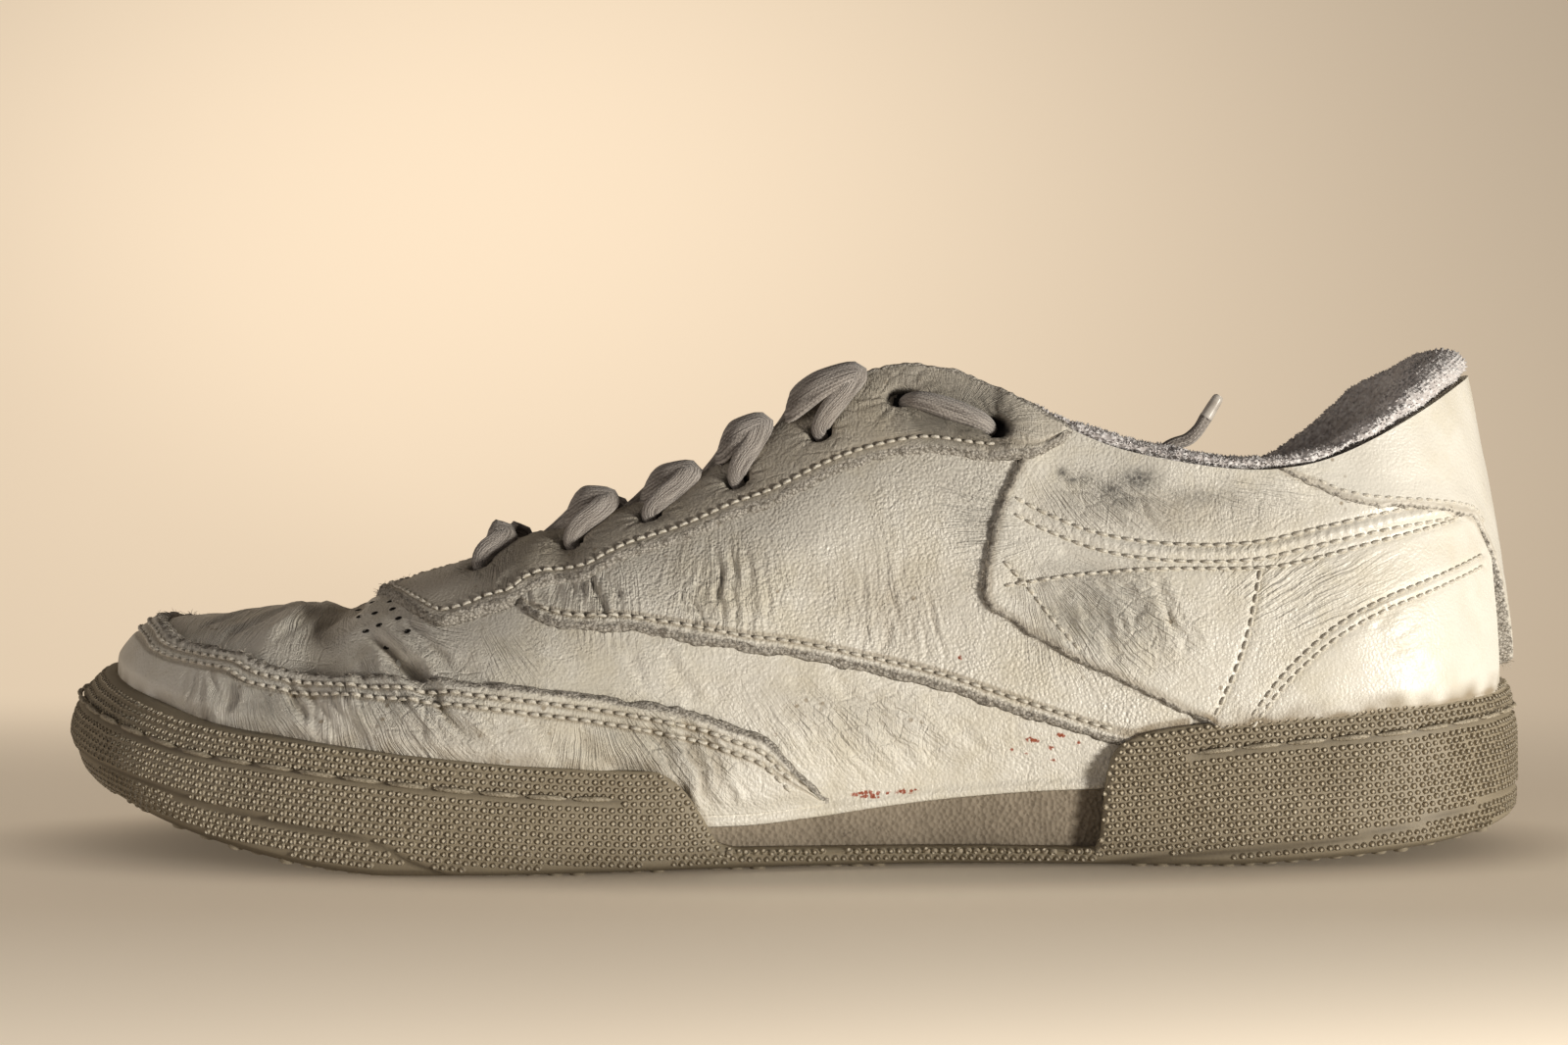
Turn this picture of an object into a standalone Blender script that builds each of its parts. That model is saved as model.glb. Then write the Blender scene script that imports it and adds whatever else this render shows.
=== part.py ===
"""Worn low-top court sneaker, right foot, about EU 43, built as its separate pieces.

Metres, +Z up. The shoe stands on z = 0, its toe points to -X and the inner (medial) side of
the foot is -Y. The origin is on the underside of the outsole, under the middle of the shoe.
"""

import bpy
import bmesh
import numpy as np
from mathutils import Matrix, Vector

MM = 0.001

# Driving sizes. The tables below are drawn in millimetres for the DRAWN sizes, and scaled to these.
LENGTH = 298.0 * MM
BALL_WIDTH = 108.6 * MM
INSTEP_HEIGHT = 96.4 * MM
DRAWN_LENGTH = 298.0
DRAWN_BALL_WIDTH = 108.6
DRAWN_INSTEP_HEIGHT = 96.4
ALONG = LENGTH / DRAWN_LENGTH
ACROSS = BALL_WIDTH / DRAWN_BALL_WIDTH
UPWARD = INSTEP_HEIGHT / DRAWN_INSTEP_HEIGHT

UPPER_WALL = 2.0 * MM
OVERLAY_THICKNESS = 1.3 * MM
GAP = 0.3 * MM
OVERLAY_GAP = 0.45 * MM
CUP_GAP = 0.45 * MM
FLOOR_THICKNESS = 2.4 * MM
FLOOR_GAP = 0.8 * MM
BED_GAP = 0.8 * MM
INSOLE_THICKNESS = 3.4 * MM
TONGUE_THICKNESS = 4.0 * MM
EYELET_RADIUS = 2.1 * MM
LACE_WIDTH = 7.0 * MM
LACE_THICKNESS = 1.6 * MM
LACE_END_DIAMETER = 2.6 * MM
AGLET_LENGTH = 5.0 * MM

# Sole. The wall stands out from the foot, more so at the toe and the heel; its underside
# leaves the floor ahead of SPRING_START and behind BEVEL_START.
WALL_OUT, TOE_BUMPER, HEEL_FLARE = 4.0 * MM, 4.5 * MM, 1.0 * MM
SPRING_START, SPRING_RUN, SPRING_RISE, SPRING_POWER = -75 * MM, 70 * MM, 15.3 * MM, 1.4
BEVEL_START, BEVEL_RUN, BEVEL_RISE, BEVEL_POWER = 85 * MM, 67 * MM, 7.0 * MM, 1.3
BED_DISH, BED_DISH_START, BED_DISH_RUN = 1.2 * MM, 4 * MM, 20 * MM
SOLE_CENTRE = np.array([6.0, 3.5]) * MM
SOLE_HALF_WIDTH = 45 * MM

# Stretches, as the foot x of their ends, and the middle of the lace and the tongue.
MUDGUARD_END, EYESTAY_END, LINING_END, TAB_END = 6 * MM, 56 * MM, 38 * MM, 97 * MM
QUARTER_START, QUARTER_END = 40 * MM, 138 * MM
MIDDLE_Y = 1.0 * MM

# One row for each section of the last, from the back of the heel along the medial side to
# the toe, and back along the lateral side. foot is the outline at the feather line, rim the
# edge of the opening; the section between them is a cubic curve that leaves the foot
# outward (bulge) and up (rise), and comes to the rim from outside (reach) and below (drop).
#    foot_x  foot_y   rim_x  rim_y  rim_z  bulge  rise reach  drop
SECTIONS = np.array([
    (145.2,    0.5,  138.6,   0.0,  96.0,   4.2, 25.0,  5.0, 26.0),
    (138.3,  -20.3,  133.2, -16.5,  93.0,   4.2, 24.0,  4.5, 25.0),
    (121.5,  -32.6,  120.0, -28.2,  85.3,   4.2, 22.0,  3.5, 22.0),
    (100.0,  -34.9,  100.5, -31.0,  76.7,   4.2, 18.0,  2.6, 18.0),
    (77.0,   -33.9,   78.0, -29.4,  77.3,   4.0, 18.0,  3.0, 18.0),
    (54.0,   -32.4,   56.5, -24.0,  84.0,   4.0, 22.0,  5.0, 20.0),
    (30.0,   -32.3,   32.0, -18.9,  96.3,   4.0, 30.0,  7.0, 18.0),
    (7.0,    -34.9,    9.0, -17.0,  91.3,   4.5, 30.0, 10.0, 16.0),
    (-17.0,  -39.6,  -15.5, -15.3,  74.4,   5.5, 28.0, 14.0,  9.0),
    (-41.0,  -44.8,  -40.0, -13.4,  64.9,   6.0, 26.0, 17.0,  5.0),
    (-64.0,  -47.5,  -61.5, -11.0,  57.6,   6.0, 24.0, 18.0,  3.0),
    (-85.0,  -46.2,  -73.5,  -7.5,  54.0,   5.5, 22.0, 20.0,  2.4),
    (-104.0, -40.8,  -76.4,  -4.5,  52.4,   4.5, 21.5, 25.0,  3.2),
    (-120.5, -31.3,  -77.5,  -2.5,  51.6,   3.5, 21.5, 34.0,  3.8),
    (-132.7, -18.0,  -78.0,  -1.0,  51.3,   2.5, 22.0, 43.0,  4.0),
    (-139.2,  -1.5,  -78.2,   0.5,  51.2,   1.5, 22.5, 48.0,  4.1),
    (-138.5,  15.0,  -78.0,   2.0,  51.2,   1.8, 22.5, 46.0,  4.0),
    (-130.2,  31.0,  -77.5,   3.6,  51.6,   2.8, 22.0, 39.0,  3.9),
    (-115.0,  43.0,  -76.3,   5.6,  52.4,   3.8, 21.5, 31.0,  3.4),
    (-96.5,   50.0,  -73.5,   8.2,  53.8,   4.8, 21.5, 24.0,  2.8),
    (-75.0,   53.6,  -68.5,  10.5,  55.6,   5.6, 23.0, 20.0,  2.8),
    (-52.0,   54.8,  -50.5,  13.2,  60.4,   6.0, 25.0, 18.0,  4.0),
    (-28.0,   53.3,  -27.0,  15.6,  68.2,   6.0, 27.0, 16.0,  7.0),
    (-4.0,    50.0,   -2.5,  17.4,  82.0,   5.5, 29.0, 13.0, 12.0),
    (20.0,    46.1,   21.5,  19.0,  95.0,   5.0, 30.0, 11.0, 17.0),
    (44.0,    42.3,   45.5,  22.4,  89.0,   5.0, 25.0,  8.0, 20.0),
    (68.0,    39.3,   68.5,  28.3,  76.0,   4.6, 19.0,  5.0, 18.0),
    (91.0,    37.0,   91.5,  31.4,  72.9,   4.4, 17.0,  3.4, 17.0),
    (114.5,   33.3,  113.8,  29.8,  80.4,   4.2, 20.0,  3.2, 20.0),
    (133.6,   23.7,  129.6,  21.2,  91.2,   4.2, 23.0,  4.0, 24.0),
])
SECTIONS[:, [0, 2]] *= ALONG
SECTIONS[:, [1, 3, 5, 7]] *= ACROSS
SECTIONS[:, [4, 6, 8]] *= UPWARD
STATION_COUNT = len(SECTIONS)
TOE_STATION = 15.3

# Tables along the shoe: place (x), then a value, in millimetres.
FEATHER_HEIGHT = (      # underside of the upper, on the rim of the midsole
    (-140, 22.8), (-125, 17.6), (-107, 13.6), (-90, 11.0), (-75, 10.0), (-40, 9.5), (-9, 9.7),
    (7, 11.1), (19, 12.8), (38, 14.8), (52, 15.8), (80, 16.8), (110, 18.4), (146, 20.2))
WALL_TOP = (            # upper edge of the rubber wall, down to a low strip in the arch windows
    (-140, 36.6), (-125, 31.8), (-107, 27.4), (-94, 25.8), (-79, 23.9), (-55, 21.2), (-40, 19.9),
    (-25, 19.1), (-20.5, 16.4), (-16, 10.2), (-12.5, 5.2), (-8, 4.2), (30, 3.8), (60.6, 3.6),
    (61.6, 13.0), (62.8, 20.2), (65.5, 23.8), (71, 25.9), (84, 27.9), (97, 29.3), (114, 30.9),
    (127, 32.4), (148, 34.5))
MUDGUARD_HEIGHT = (     # raw upper edge of the toe overlay, and the row that carries it on
    (-139, 46.2), (-132, 45.6), (-120, 42.5), (-104, 39.0), (-85, 36.8), (-64, 35.6), (-41, 33.2),
    (-17, 29.0), (-8, 24.7), (0, 18.5), (7, 14.0), (20, 18.0), (60, 31.0), (110, 43.0), (146, 47.0))
FACING_DEPTH = (        # how far the eyestay reaches from the edge of the opening
    (-139, 6.0), (-104, 7.0), (-85, 13.0), (-74, 20.0), (-64, 21.0), (-57, 18.0), (-50, 15.0),
    (-34, 14.0), (-20, 13.5), (-12, 14.0), (0, 17.0), (20, 18.5), (33, 18.0), (46, 14.0),
    (54, 7.0), (57, 4.0), (66, 12.0), (146, 16.0))
TAB_HEIGHT = (          # lower edge of the heel tab, then its strip down the back
    (96, 73.5), (105, 70.5), (114, 68.5), (127, 67.8), (135.5, 67.0), (139.5, 59.0), (141.5, 49.0),
    (144, 38.0), (146, 36.4))
QUARTER_LOW = (         # rear quarter overlay: its raw lower edge, down to the rubber wall
    (40, 54.0), (42, 48.5), (49, 44.0), (59, 39.0), (70, 34.3), (83, 28.8), (97, 30.1),
    (114, 31.7), (127, 33.2), (146, 35.3))
QUARTER_HIGH = (        # and its upper edge, up to the collar, then under the heel tab
    (40, 58.0), (42.5, 66.0), (45, 73.0), (48, 78.0), (56, 90.0), (96, 90.0), (97, 72.0),
    (105, 69.5), (114, 67.4), (127, 66.6), (134, 64.0), (137, 57.0), (139, 46.0))
TONGUE_SINK = (         # how far the tongue lies under the line of the throat
    (-90, 2.7), (-78, 3.5), (-62, 6.0), (-45, 7.0), (-20, 9.0), (0, 10.5), (20, 9.5), (32, 8.0))
TONGUE_HALF_WIDTH = ((-90, 17.0), (-60, 20.0), (-20, 23.0), (20, 25.0), (28, 23.0), (32, 18.0))

# Eyelet holes: place along the shoe and depth from the edge of the throat.
EYELETS = ((-60.0, 7.0), (-42.0, 8.0), (-26.5, 6.5), (-9.0, 7.0), (7.5, 8.0), (23.5, 7.0), (42.0, 8.0))
CROSSED_EYELETS = 5     # the lace crosses from the first eyelet to this one, then runs outside

# The lace's free end, from inside the top medial eyelet along the lining and up over it.
LACE_END_ROUTE = (
    (45.0, -17.3, 80.1), (52.4, -17.9, 75.5), (61.3, -17.8, 73.25), (68.2, -17.1, 74.6),
    (73.1, -18.9, 78.2), (77.1, -20.4, 81.4), (80.2, -21.0, 82.5), (82.2, -21.3, 84.3),
    (83.8, -21.7, 86.9))


def eased(rows, place):
    """Reads a table of (place, value) rows: cubic steps that never pass beyond their rows."""
    at, value = np.array(rows, float).T
    at, value = at * ALONG, value * UPWARD
    place = np.clip(place, at[0], at[-1])
    step = np.diff(at)
    slope = np.diff(value) / step
    same_way = slope[1:] * slope[:-1] > 0
    total = np.where(same_way, slope[1:] + slope[:-1], 1.0)
    lean = np.concatenate([
        slope[:1], np.where(same_way, 2 * slope[1:] * slope[:-1] / total, 0.0), slope[-1:]])
    i = np.clip(np.searchsorted(at, place) - 1, 0, len(at) - 2)
    f = (place - at[i]) / step[i]
    g = 1 - f
    return (value[i] * (1 + 2 * f) * g * g + value[i + 1] * f * f * (3 - 2 * f)
            + step[i] * f * g * (lean[i] * g - lean[i + 1] * f))


def smooth(share):
    """0 to 1 with level ends."""
    share = np.clip(share, 0, 1)
    return share * share * (3 - 2 * share)


def spline_bends(rows):
    """Second derivatives of the closed cubic spline through the rows."""
    one = np.eye(len(rows))
    matrix = 4 * one + np.roll(one, 1, axis=0) + np.roll(one, -1, axis=0)
    return np.linalg.solve(matrix, 6 * (np.roll(rows, -1, axis=0) - 2 * rows + np.roll(rows, 1, axis=0)))


SECTION_BENDS = spline_bends(SECTIONS)


def section_row(t):
    """The columns of SECTIONS at any station t, whole or not."""
    low = np.floor(t).astype(int)
    f = (t - low)[..., None]
    i, j = low % STATION_COUNT, (low + 1) % STATION_COUNT
    g = 1 - f
    return (g * SECTIONS[i] + f * SECTIONS[j]
            + ((f**3 - f) * SECTION_BENDS[j] + (g**3 - g) * SECTION_BENDS[i]) / 6)


def outward(t):
    """Unit vector in plan, square to the outline of the last."""
    tangent = section_row(t + 0.02)[..., :2] - section_row(t - 0.02)[..., :2]
    normal = np.stack([-tangent[..., 1], tangent[..., 0]], axis=-1)
    return normal / np.linalg.norm(normal, axis=-1, keepdims=True)


def upper_point(t, v):
    """Outer surface of the upper: v runs from 0 at the feather line to 1 at the opening's edge."""
    t, v = np.broadcast_arrays(np.asarray(t, float), np.asarray(v, float))
    row = section_row(t)
    normal = outward(t)
    foot, rim = row[..., 0:2], row[..., 2:4]
    far = foot - rim + 12 * MM * normal
    far /= np.linalg.norm(far, axis=-1, keepdims=True)
    feather = eased(FEATHER_HEIGHT, foot[..., 0])[..., None]
    rim_z = row[..., 4:5]
    bulge, rise, reach, drop = (row[..., k:k + 1] for k in (5, 6, 7, 8))
    start = np.concatenate([foot, feather], axis=-1)
    start_pull = np.concatenate([foot + bulge * normal, feather + rise], axis=-1)
    end_pull = np.concatenate([rim + reach * far, rim_z - drop], axis=-1)
    end = np.concatenate([rim, rim_z], axis=-1)
    v = v[..., None]
    w = 1 - v
    return w**3 * start + 3 * w * w * v * start_pull + 3 * w * v * v * end_pull + v**3 * end


def upper_normal(t, v):
    """Unit normal of the upper, pointing out of the shoe."""
    step = 1e-3
    around = upper_point(t + step, v) - upper_point(t - step, v)
    up = upper_point(t, np.minimum(v + step, 1)) - upper_point(t, np.maximum(v - step, 0))
    normal = np.cross(up, around)
    return normal / np.linalg.norm(normal, axis=-1, keepdims=True)


def upper_lifted(t, v, lift):
    return upper_point(t, v) + lift * upper_normal(t, v)


def v_where(grown, target):
    """v at which each section's growing measure (a row of samples) reaches its target."""
    last = grown.shape[1] - 1
    k = np.clip((grown < target[:, None]).sum(axis=1), 1, last)
    pair = np.take_along_axis(grown, np.stack([k - 1, k], axis=1), axis=1)
    share = (target - pair[:, 0]) / np.maximum(pair[:, 1] - pair[:, 0], 1e-9)
    return (k - 1 + np.clip(share, 0, 1)) / last


def v_at_height(t, height):
    points = upper_point(t[:, None], np.linspace(0, 1, 129)[None, :])
    return v_where(np.maximum.accumulate(points[..., 2], axis=1), height)


def v_at_depth(t, depth):
    """v at a distance from the opening's edge, measured along the section."""
    points = upper_point(t[:, None], np.linspace(0, 1, 129)[None, :])
    steps = np.linalg.norm(np.diff(points, axis=1), axis=2)
    run = np.concatenate([np.zeros((len(t), 1)), np.cumsum(steps, axis=1)], axis=1)
    return v_where(run, run[:, -1] - depth)


def foot_x(t):
    return section_row(np.asarray(t, float))[..., 0]


def station_at(x, side):
    """Station whose foot lies at x, on the medial (-1) or the lateral (+1) side."""
    ends = (0.0, TOE_STATION) if side < 0 else (float(STATION_COUNT), TOE_STATION)
    t = np.linspace(ends[1], ends[0], 400)
    return float(np.interp(x, foot_x(t), t))


# The columns that every piece round the shoe shares: the stations, halves where the outline
# turns, the lining's front end, and the steep ends of the arch windows.
EXTRA_COLUMNS = (-20.5, -14.0, -8.5, 38.0, 60.5, 61.7, 65.0)
LEAST_STEP = 0.04


def shared_columns():
    t = list(range(STATION_COUNT)) + [0.3, 0.6, 1.3, 1.6, 2.5, 27.5, 28.4, 28.7, 29.4, 29.7]
    t += [k + 0.5 for k in range(11, 20)]
    for side in (-1, 1):
        t += [station_at(x * MM, side) for x in EXTRA_COLUMNS]
    t = np.sort(np.array(t, float))
    return t[np.concatenate([[True], np.diff(t) > LEAST_STEP])]


COLUMNS = shared_columns()


def row_lines(t):
    """The v of the lines that the pieces of the upper share: wall top, mudguard, facing."""
    x = foot_x(t)
    wall = np.maximum(v_at_height(t, eased(WALL_TOP, x) + GAP), 0.03)
    mudguard = np.maximum(v_at_height(t, eased(MUDGUARD_HEIGHT, x)), wall + 0.04)
    facing = np.maximum(v_at_depth(t, eased(FACING_DEPTH, x)), mudguard + 0.05)
    return wall, mudguard, facing


def between(low, high, count):
    """count + 1 rows of v from low to high, as an array of rows by columns."""
    share = np.linspace(0, 1, count + 1)[:, None]
    return low[None, :] * (1 - share) + high[None, :] * share


# ---------------------------------------------------------------- heights of the sole

def underside(x):
    """The sole's lower face: flat, with a toe spring and a worn heel bevel."""
    spring = SPRING_RISE * (np.maximum(SPRING_START - x, 0) / SPRING_RUN) ** SPRING_POWER
    bevel = BEVEL_RISE * (np.maximum(x - BEVEL_START, 0) / BEVEL_RUN) ** BEVEL_POWER
    return spring + bevel


def toe_share(t):
    return smooth((-95 * MM - foot_x(t)) / (45 * MM))


def heel_share(t):
    return smooth((foot_x(t) - 115 * MM) / (30 * MM))


def outline(t, out):
    """Outline of the last in plan, moved outward by out."""
    return section_row(t)[..., :2] + np.asarray(out)[..., None] * outward(t)


def ring(plan, height):
    return np.column_stack([plan, np.broadcast_to(height, len(plan))])


def shrunk(plan, share):
    """The outline drawn in towards the middle of the sole."""
    return SOLE_CENTRE + share * (plan - SOLE_CENTRE)


# ---------------------------------------------------------------- making objects

def new_collection(name):
    collection = bpy.data.collections.new(name)
    bpy.context.scene.collection.children.link(collection)
    return collection


def new_material(name, colour, roughness):
    material = bpy.data.materials.new(name)
    material.use_nodes = True
    shader = material.node_tree.nodes["Principled BSDF"]
    shader.inputs["Base Color"].default_value = (*colour, 1)
    shader.inputs["Roughness"].default_value = roughness
    shader.inputs["Metallic"].default_value = 0
    return material


def add_object(name, vertices, faces, material, collection):
    mesh = bpy.data.meshes.new(name)
    mesh.from_pydata(vertices, [], faces)
    mesh.materials.append(material)
    obj = bpy.data.objects.new(name, mesh)
    collection.objects.link(obj)
    return obj


def recalculate(obj):
    """Turns all faces outward and shades the piece smooth."""
    work = bmesh.new()
    work.from_mesh(obj.data)
    bmesh.ops.recalc_face_normals(work, faces=work.faces)
    if work.calc_volume(signed=True) < 0:
        bmesh.ops.reverse_faces(work, faces=work.faces)
    work.to_mesh(obj.data)
    work.free()
    obj.data.shade_smooth()
    obj.data.set_sharp_from_angle(angle=np.radians(40))


def add_loft(name, rings, material, collection):
    """Closed body through rings of equal count; a fan closes the first and the last."""
    rings = np.array(rings)
    count, around = rings.shape[:2]
    vertices = list(map(tuple, rings.reshape(-1, 3)))
    vertices += [tuple(rings[0].mean(axis=0)), tuple(rings[-1].mean(axis=0))]
    faces = []
    for i in range(count - 1):
        for j in range(around):
            k = (j + 1) % around
            faces.append((i * around + j, i * around + k, (i + 1) * around + k, (i + 1) * around + j))
    for j in range(around):
        k = (j + 1) % around
        faces.append((count * around, k, j))
        faces.append((count * around + 1, (count - 1) * around + j, (count - 1) * around + k))
    obj = add_object(name, vertices, faces, material, collection)
    recalculate(obj)
    return obj


def add_sheet(name, grid, thickness, material, collection, closed=False):
    """Open surface of rows by columns with a Solidify wall; positive thickness grows outward."""
    rows, columns = grid.shape[:2]
    faces = []
    for i in range(rows - 1):
        for j in range(columns if closed else columns - 1):
            k = (j + 1) % columns
            faces.append((i * columns + j, (i + 1) * columns + j, (i + 1) * columns + k, i * columns + k))
    obj = add_object(name, list(map(tuple, grid.reshape(-1, 3))), faces, material, collection)
    obj.data.shade_smooth()
    wall = obj.modifiers.new("Wall", "SOLIDIFY")
    wall.thickness = abs(thickness)
    wall.offset = 1 if thickness > 0 else -1
    wall.use_even_offset = True
    return obj


def hidden(obj):
    """Marks a cutter or another helper, which is no piece of the shoe."""
    obj.hide_render = True
    obj.display_type = "WIRE"
    return obj


def combine(obj, helper, operation):
    boolean = obj.modifiers.new(operation.title(), "BOOLEAN")
    boolean.operation = operation
    boolean.object = helper
    boolean.solver = "EXACT"


# ---------------------------------------------------------------- the pieces

def make_outsole(material, collection):
    """Rubber cup: underside, rounded edge, tread band, wall with a stitch groove, lip, inside."""
    t = COLUMNS
    toe, heel = toe_share(t), heel_share(t)
    wide = WALL_OUT + TOE_BUMPER * toe + HEEL_FLARE * heel
    edge = outline(t, wide - (2.0 + 6.0 * toe) * MM)
    low = underside(edge[:, 0])
    top = eased(WALL_TOP, foot_x(t))
    high = top - low

    def outer(inset, toe_inset, heel_inset, height):
        return ring(outline(t, wide - (inset + toe_inset * toe + heel_inset * heel) * MM), height)

    rings = [ring(shrunk(edge, share), underside(shrunk(edge, share)[:, 0])) for share in (0.2, 0.5, 0.8)]
    rings.append(ring(edge, low))
    # Tread band: height above the underside, as a size and as the most share of the wall.
    for size, share, inset, toe_inset in (
            (0.9, 0.25, 0.6, 4.6), (2.5, 0.60, 0.0, 3.0), (2.8, 0.70, 0.6, 3.4), (3.3, 0.80, 0.0, 2.4)):
        rings.append(outer(inset, toe_inset, 0, low + np.minimum(size * MM, share * high)))
    band_top = low + np.minimum(3.3 * MM, 0.80 * high)
    above = top - band_top
    # Wall: depth under the upper edge, as a size and as the most share of what is left.
    rings.append(outer(0, 0, 0, top - 0.55 * np.maximum(above, 0) - 0.25 * np.minimum(6.2 * MM, 0.8 * above)))
    for size, share, inset, toe_inset, heel_inset in (
            (6.2, 0.80, 0.1, 1.6, 0.3), (5.6, 0.65, 0.8, 2.4, 1.0),
            (5.0, 0.50, 0.2, 2.2, 0.4), (0.8, 0.15, 0.7, 5.6, 1.0)):
        rings.append(outer(inset, toe_inset, heel_inset, top - np.minimum(size * MM, share * above)))
    rings.append(outer(1.3, 6.2, 1.5, top))
    floor = underside(foot_x(t)) + FLOOR_THICKNESS
    for share in (1.0, 0.72, 0.42, 0.0):
        height = floor + share * (top - floor)
        inner = upper_point(t, v_at_height(t, height))[:, :2] + CUP_GAP * outward(t)
        rings.append(ring(inner, height))
    inside = outline(t, CUP_GAP)
    for share in (0.7, 0.3):
        plan = shrunk(inside, share)
        rings.append(ring(plan, underside(plan[:, 0]) + FLOOR_THICKNESS))
    return add_loft("outsole", rings, material, collection)


def midsole_top(plan, edge_distance):
    """The foot bed's height: level at the rim and dished towards the middle."""
    dish = BED_DISH * smooth((edge_distance - BED_DISH_START) / BED_DISH_RUN)
    return eased(FEATHER_HEIGHT, plan[:, 0]) - GAP - dish


def bed_rings(t, insets, lift):
    """Rings across the foot bed: (inset from the outline, share towards the middle)."""
    rings = []
    for inset, share in insets:
        plan = shrunk(outline(t, -inset * MM), share)
        distance = inset * MM + (1 - share) * SOLE_HALF_WIDTH
        rings.append(ring(plan, midsole_top(plan, distance) + lift))
    return rings


def make_midsole(material, collection):
    """Foam wedge that fills the cup and carries the upper's edge on its rim."""
    t = COLUMNS
    side = outline(t, 0)
    base = underside(side[:, 0]) + FLOOR_THICKNESS + FLOOR_GAP
    rings = []
    for share in (0.3, 0.7):
        plan = shrunk(side, share)
        rings.append(ring(plan, underside(plan[:, 0]) + FLOOR_THICKNESS + FLOOR_GAP))
    rings.append(ring(side, base))
    rings += bed_rings(t, ((0, 1.0), (3.5, 1.0), (3.5, 0.72), (3.5, 0.3)), 0)
    return add_loft("midsole", rings, material, collection)


def make_insole(material, collection):
    """Thin foot bed inside the upper, lying on the midsole."""
    t = COLUMNS[::2]
    low = bed_rings(t, ((3.5, 0.3), (3.5, 0.72), (3.5, 1.0)), BED_GAP)
    rim = bed_rings(t, ((3.0, 1.0),), BED_GAP + 0.4 * INSOLE_THICKNESS)
    high = bed_rings(t, ((3.6, 1.0), (3.5, 0.72), (3.5, 0.3)), BED_GAP + INSOLE_THICKNESS)
    return add_loft("insole", low + rim + high, material, collection)


def make_upper(material, collection):
    """One hollow shell between the feather line and the opening's edge."""
    wall, mudguard, facing = row_lines(COLUMNS)
    nought, one = np.zeros(len(COLUMNS)), np.ones(len(COLUMNS))
    rows = np.vstack([
        between(nought, wall, 1)[:-1], between(wall, mudguard, 3)[:-1],
        between(mudguard, facing, 3)[:-1], between(facing, one, 3)])
    grid = upper_point(COLUMNS[None, :], rows)
    return add_sheet("upper", grid, -UPPER_WALL, material, collection, closed=True)


def stretch(start, end):
    """The shared columns from one station to another, both included; start may be below 0."""
    columns = np.concatenate([COLUMNS - STATION_COUNT, COLUMNS])
    inside = columns[(columns > start + LEAST_STEP) & (columns < end - LEAST_STEP)]
    return np.concatenate([[start], inside, [end]])


def heel_stretch(x):
    """The columns round the heel, from the lateral side's foot x to the medial side's."""
    return stretch(station_at(x, 1) - STATION_COUNT, station_at(x, -1))


def make_mudguard(material, collection):
    """Toe overlay from the rubber's lip up to its raw edge, ending low at the arch."""
    t = stretch(station_at(MUDGUARD_END, -1), station_at(MUDGUARD_END, 1))
    wall, mudguard, _ = row_lines(t)
    grid = upper_lifted(t[None, :], between(wall, mudguard, 3), OVERLAY_GAP)
    return add_sheet("mudguard", grid, OVERLAY_THICKNESS, material, collection)


def make_eyestay(material, collection):
    """U-shaped facing round the throat, from one top corner to the other."""
    t = stretch(station_at(EYESTAY_END, -1), station_at(EYESTAY_END, 1))
    facing = row_lines(t)[2]
    grid = upper_lifted(t[None, :], between(facing, np.ones(len(t)), 3), OVERLAY_GAP)
    return add_sheet("eyestay", grid, OVERLAY_THICKNESS, material, collection)


def make_heel_tab(material, collection):
    """Overlay under the collar with a strip down the back of the heel."""
    t = heel_stretch(TAB_END)
    low = v_at_height(t, eased(TAB_HEIGHT, foot_x(t)))
    grid = upper_lifted(t[None, :], between(low, np.ones(len(t)), 6), 1.5 * GAP)
    return add_sheet("heel_tab", grid, OVERLAY_THICKNESS, material, collection)


def make_quarter(side, material, collection):
    """Rear quarter overlay of one side: raw front edge, below the collar and the heel tab."""
    ends = (station_at(QUARTER_START, side), station_at(QUARTER_END, side))
    t = stretch(min(ends), max(ends))
    x = foot_x(t)
    low = v_at_height(t, eased(QUARTER_LOW, x) + GAP)
    facing = v_at_depth(t, eased(FACING_DEPTH, x) + 2 * GAP)
    top = np.where(x < 58 * MM, facing, 1.0)
    high = np.maximum(np.minimum(v_at_height(t, eased(QUARTER_HIGH, x)), top), low + 0.03)
    grid = upper_lifted(t[None, :], between(low, high, 4), OVERLAY_GAP)
    name = "quarter_medial" if side < 0 else "quarter_lateral"
    return add_sheet(name, grid, OVERLAY_THICKNESS, material, collection)


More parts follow.
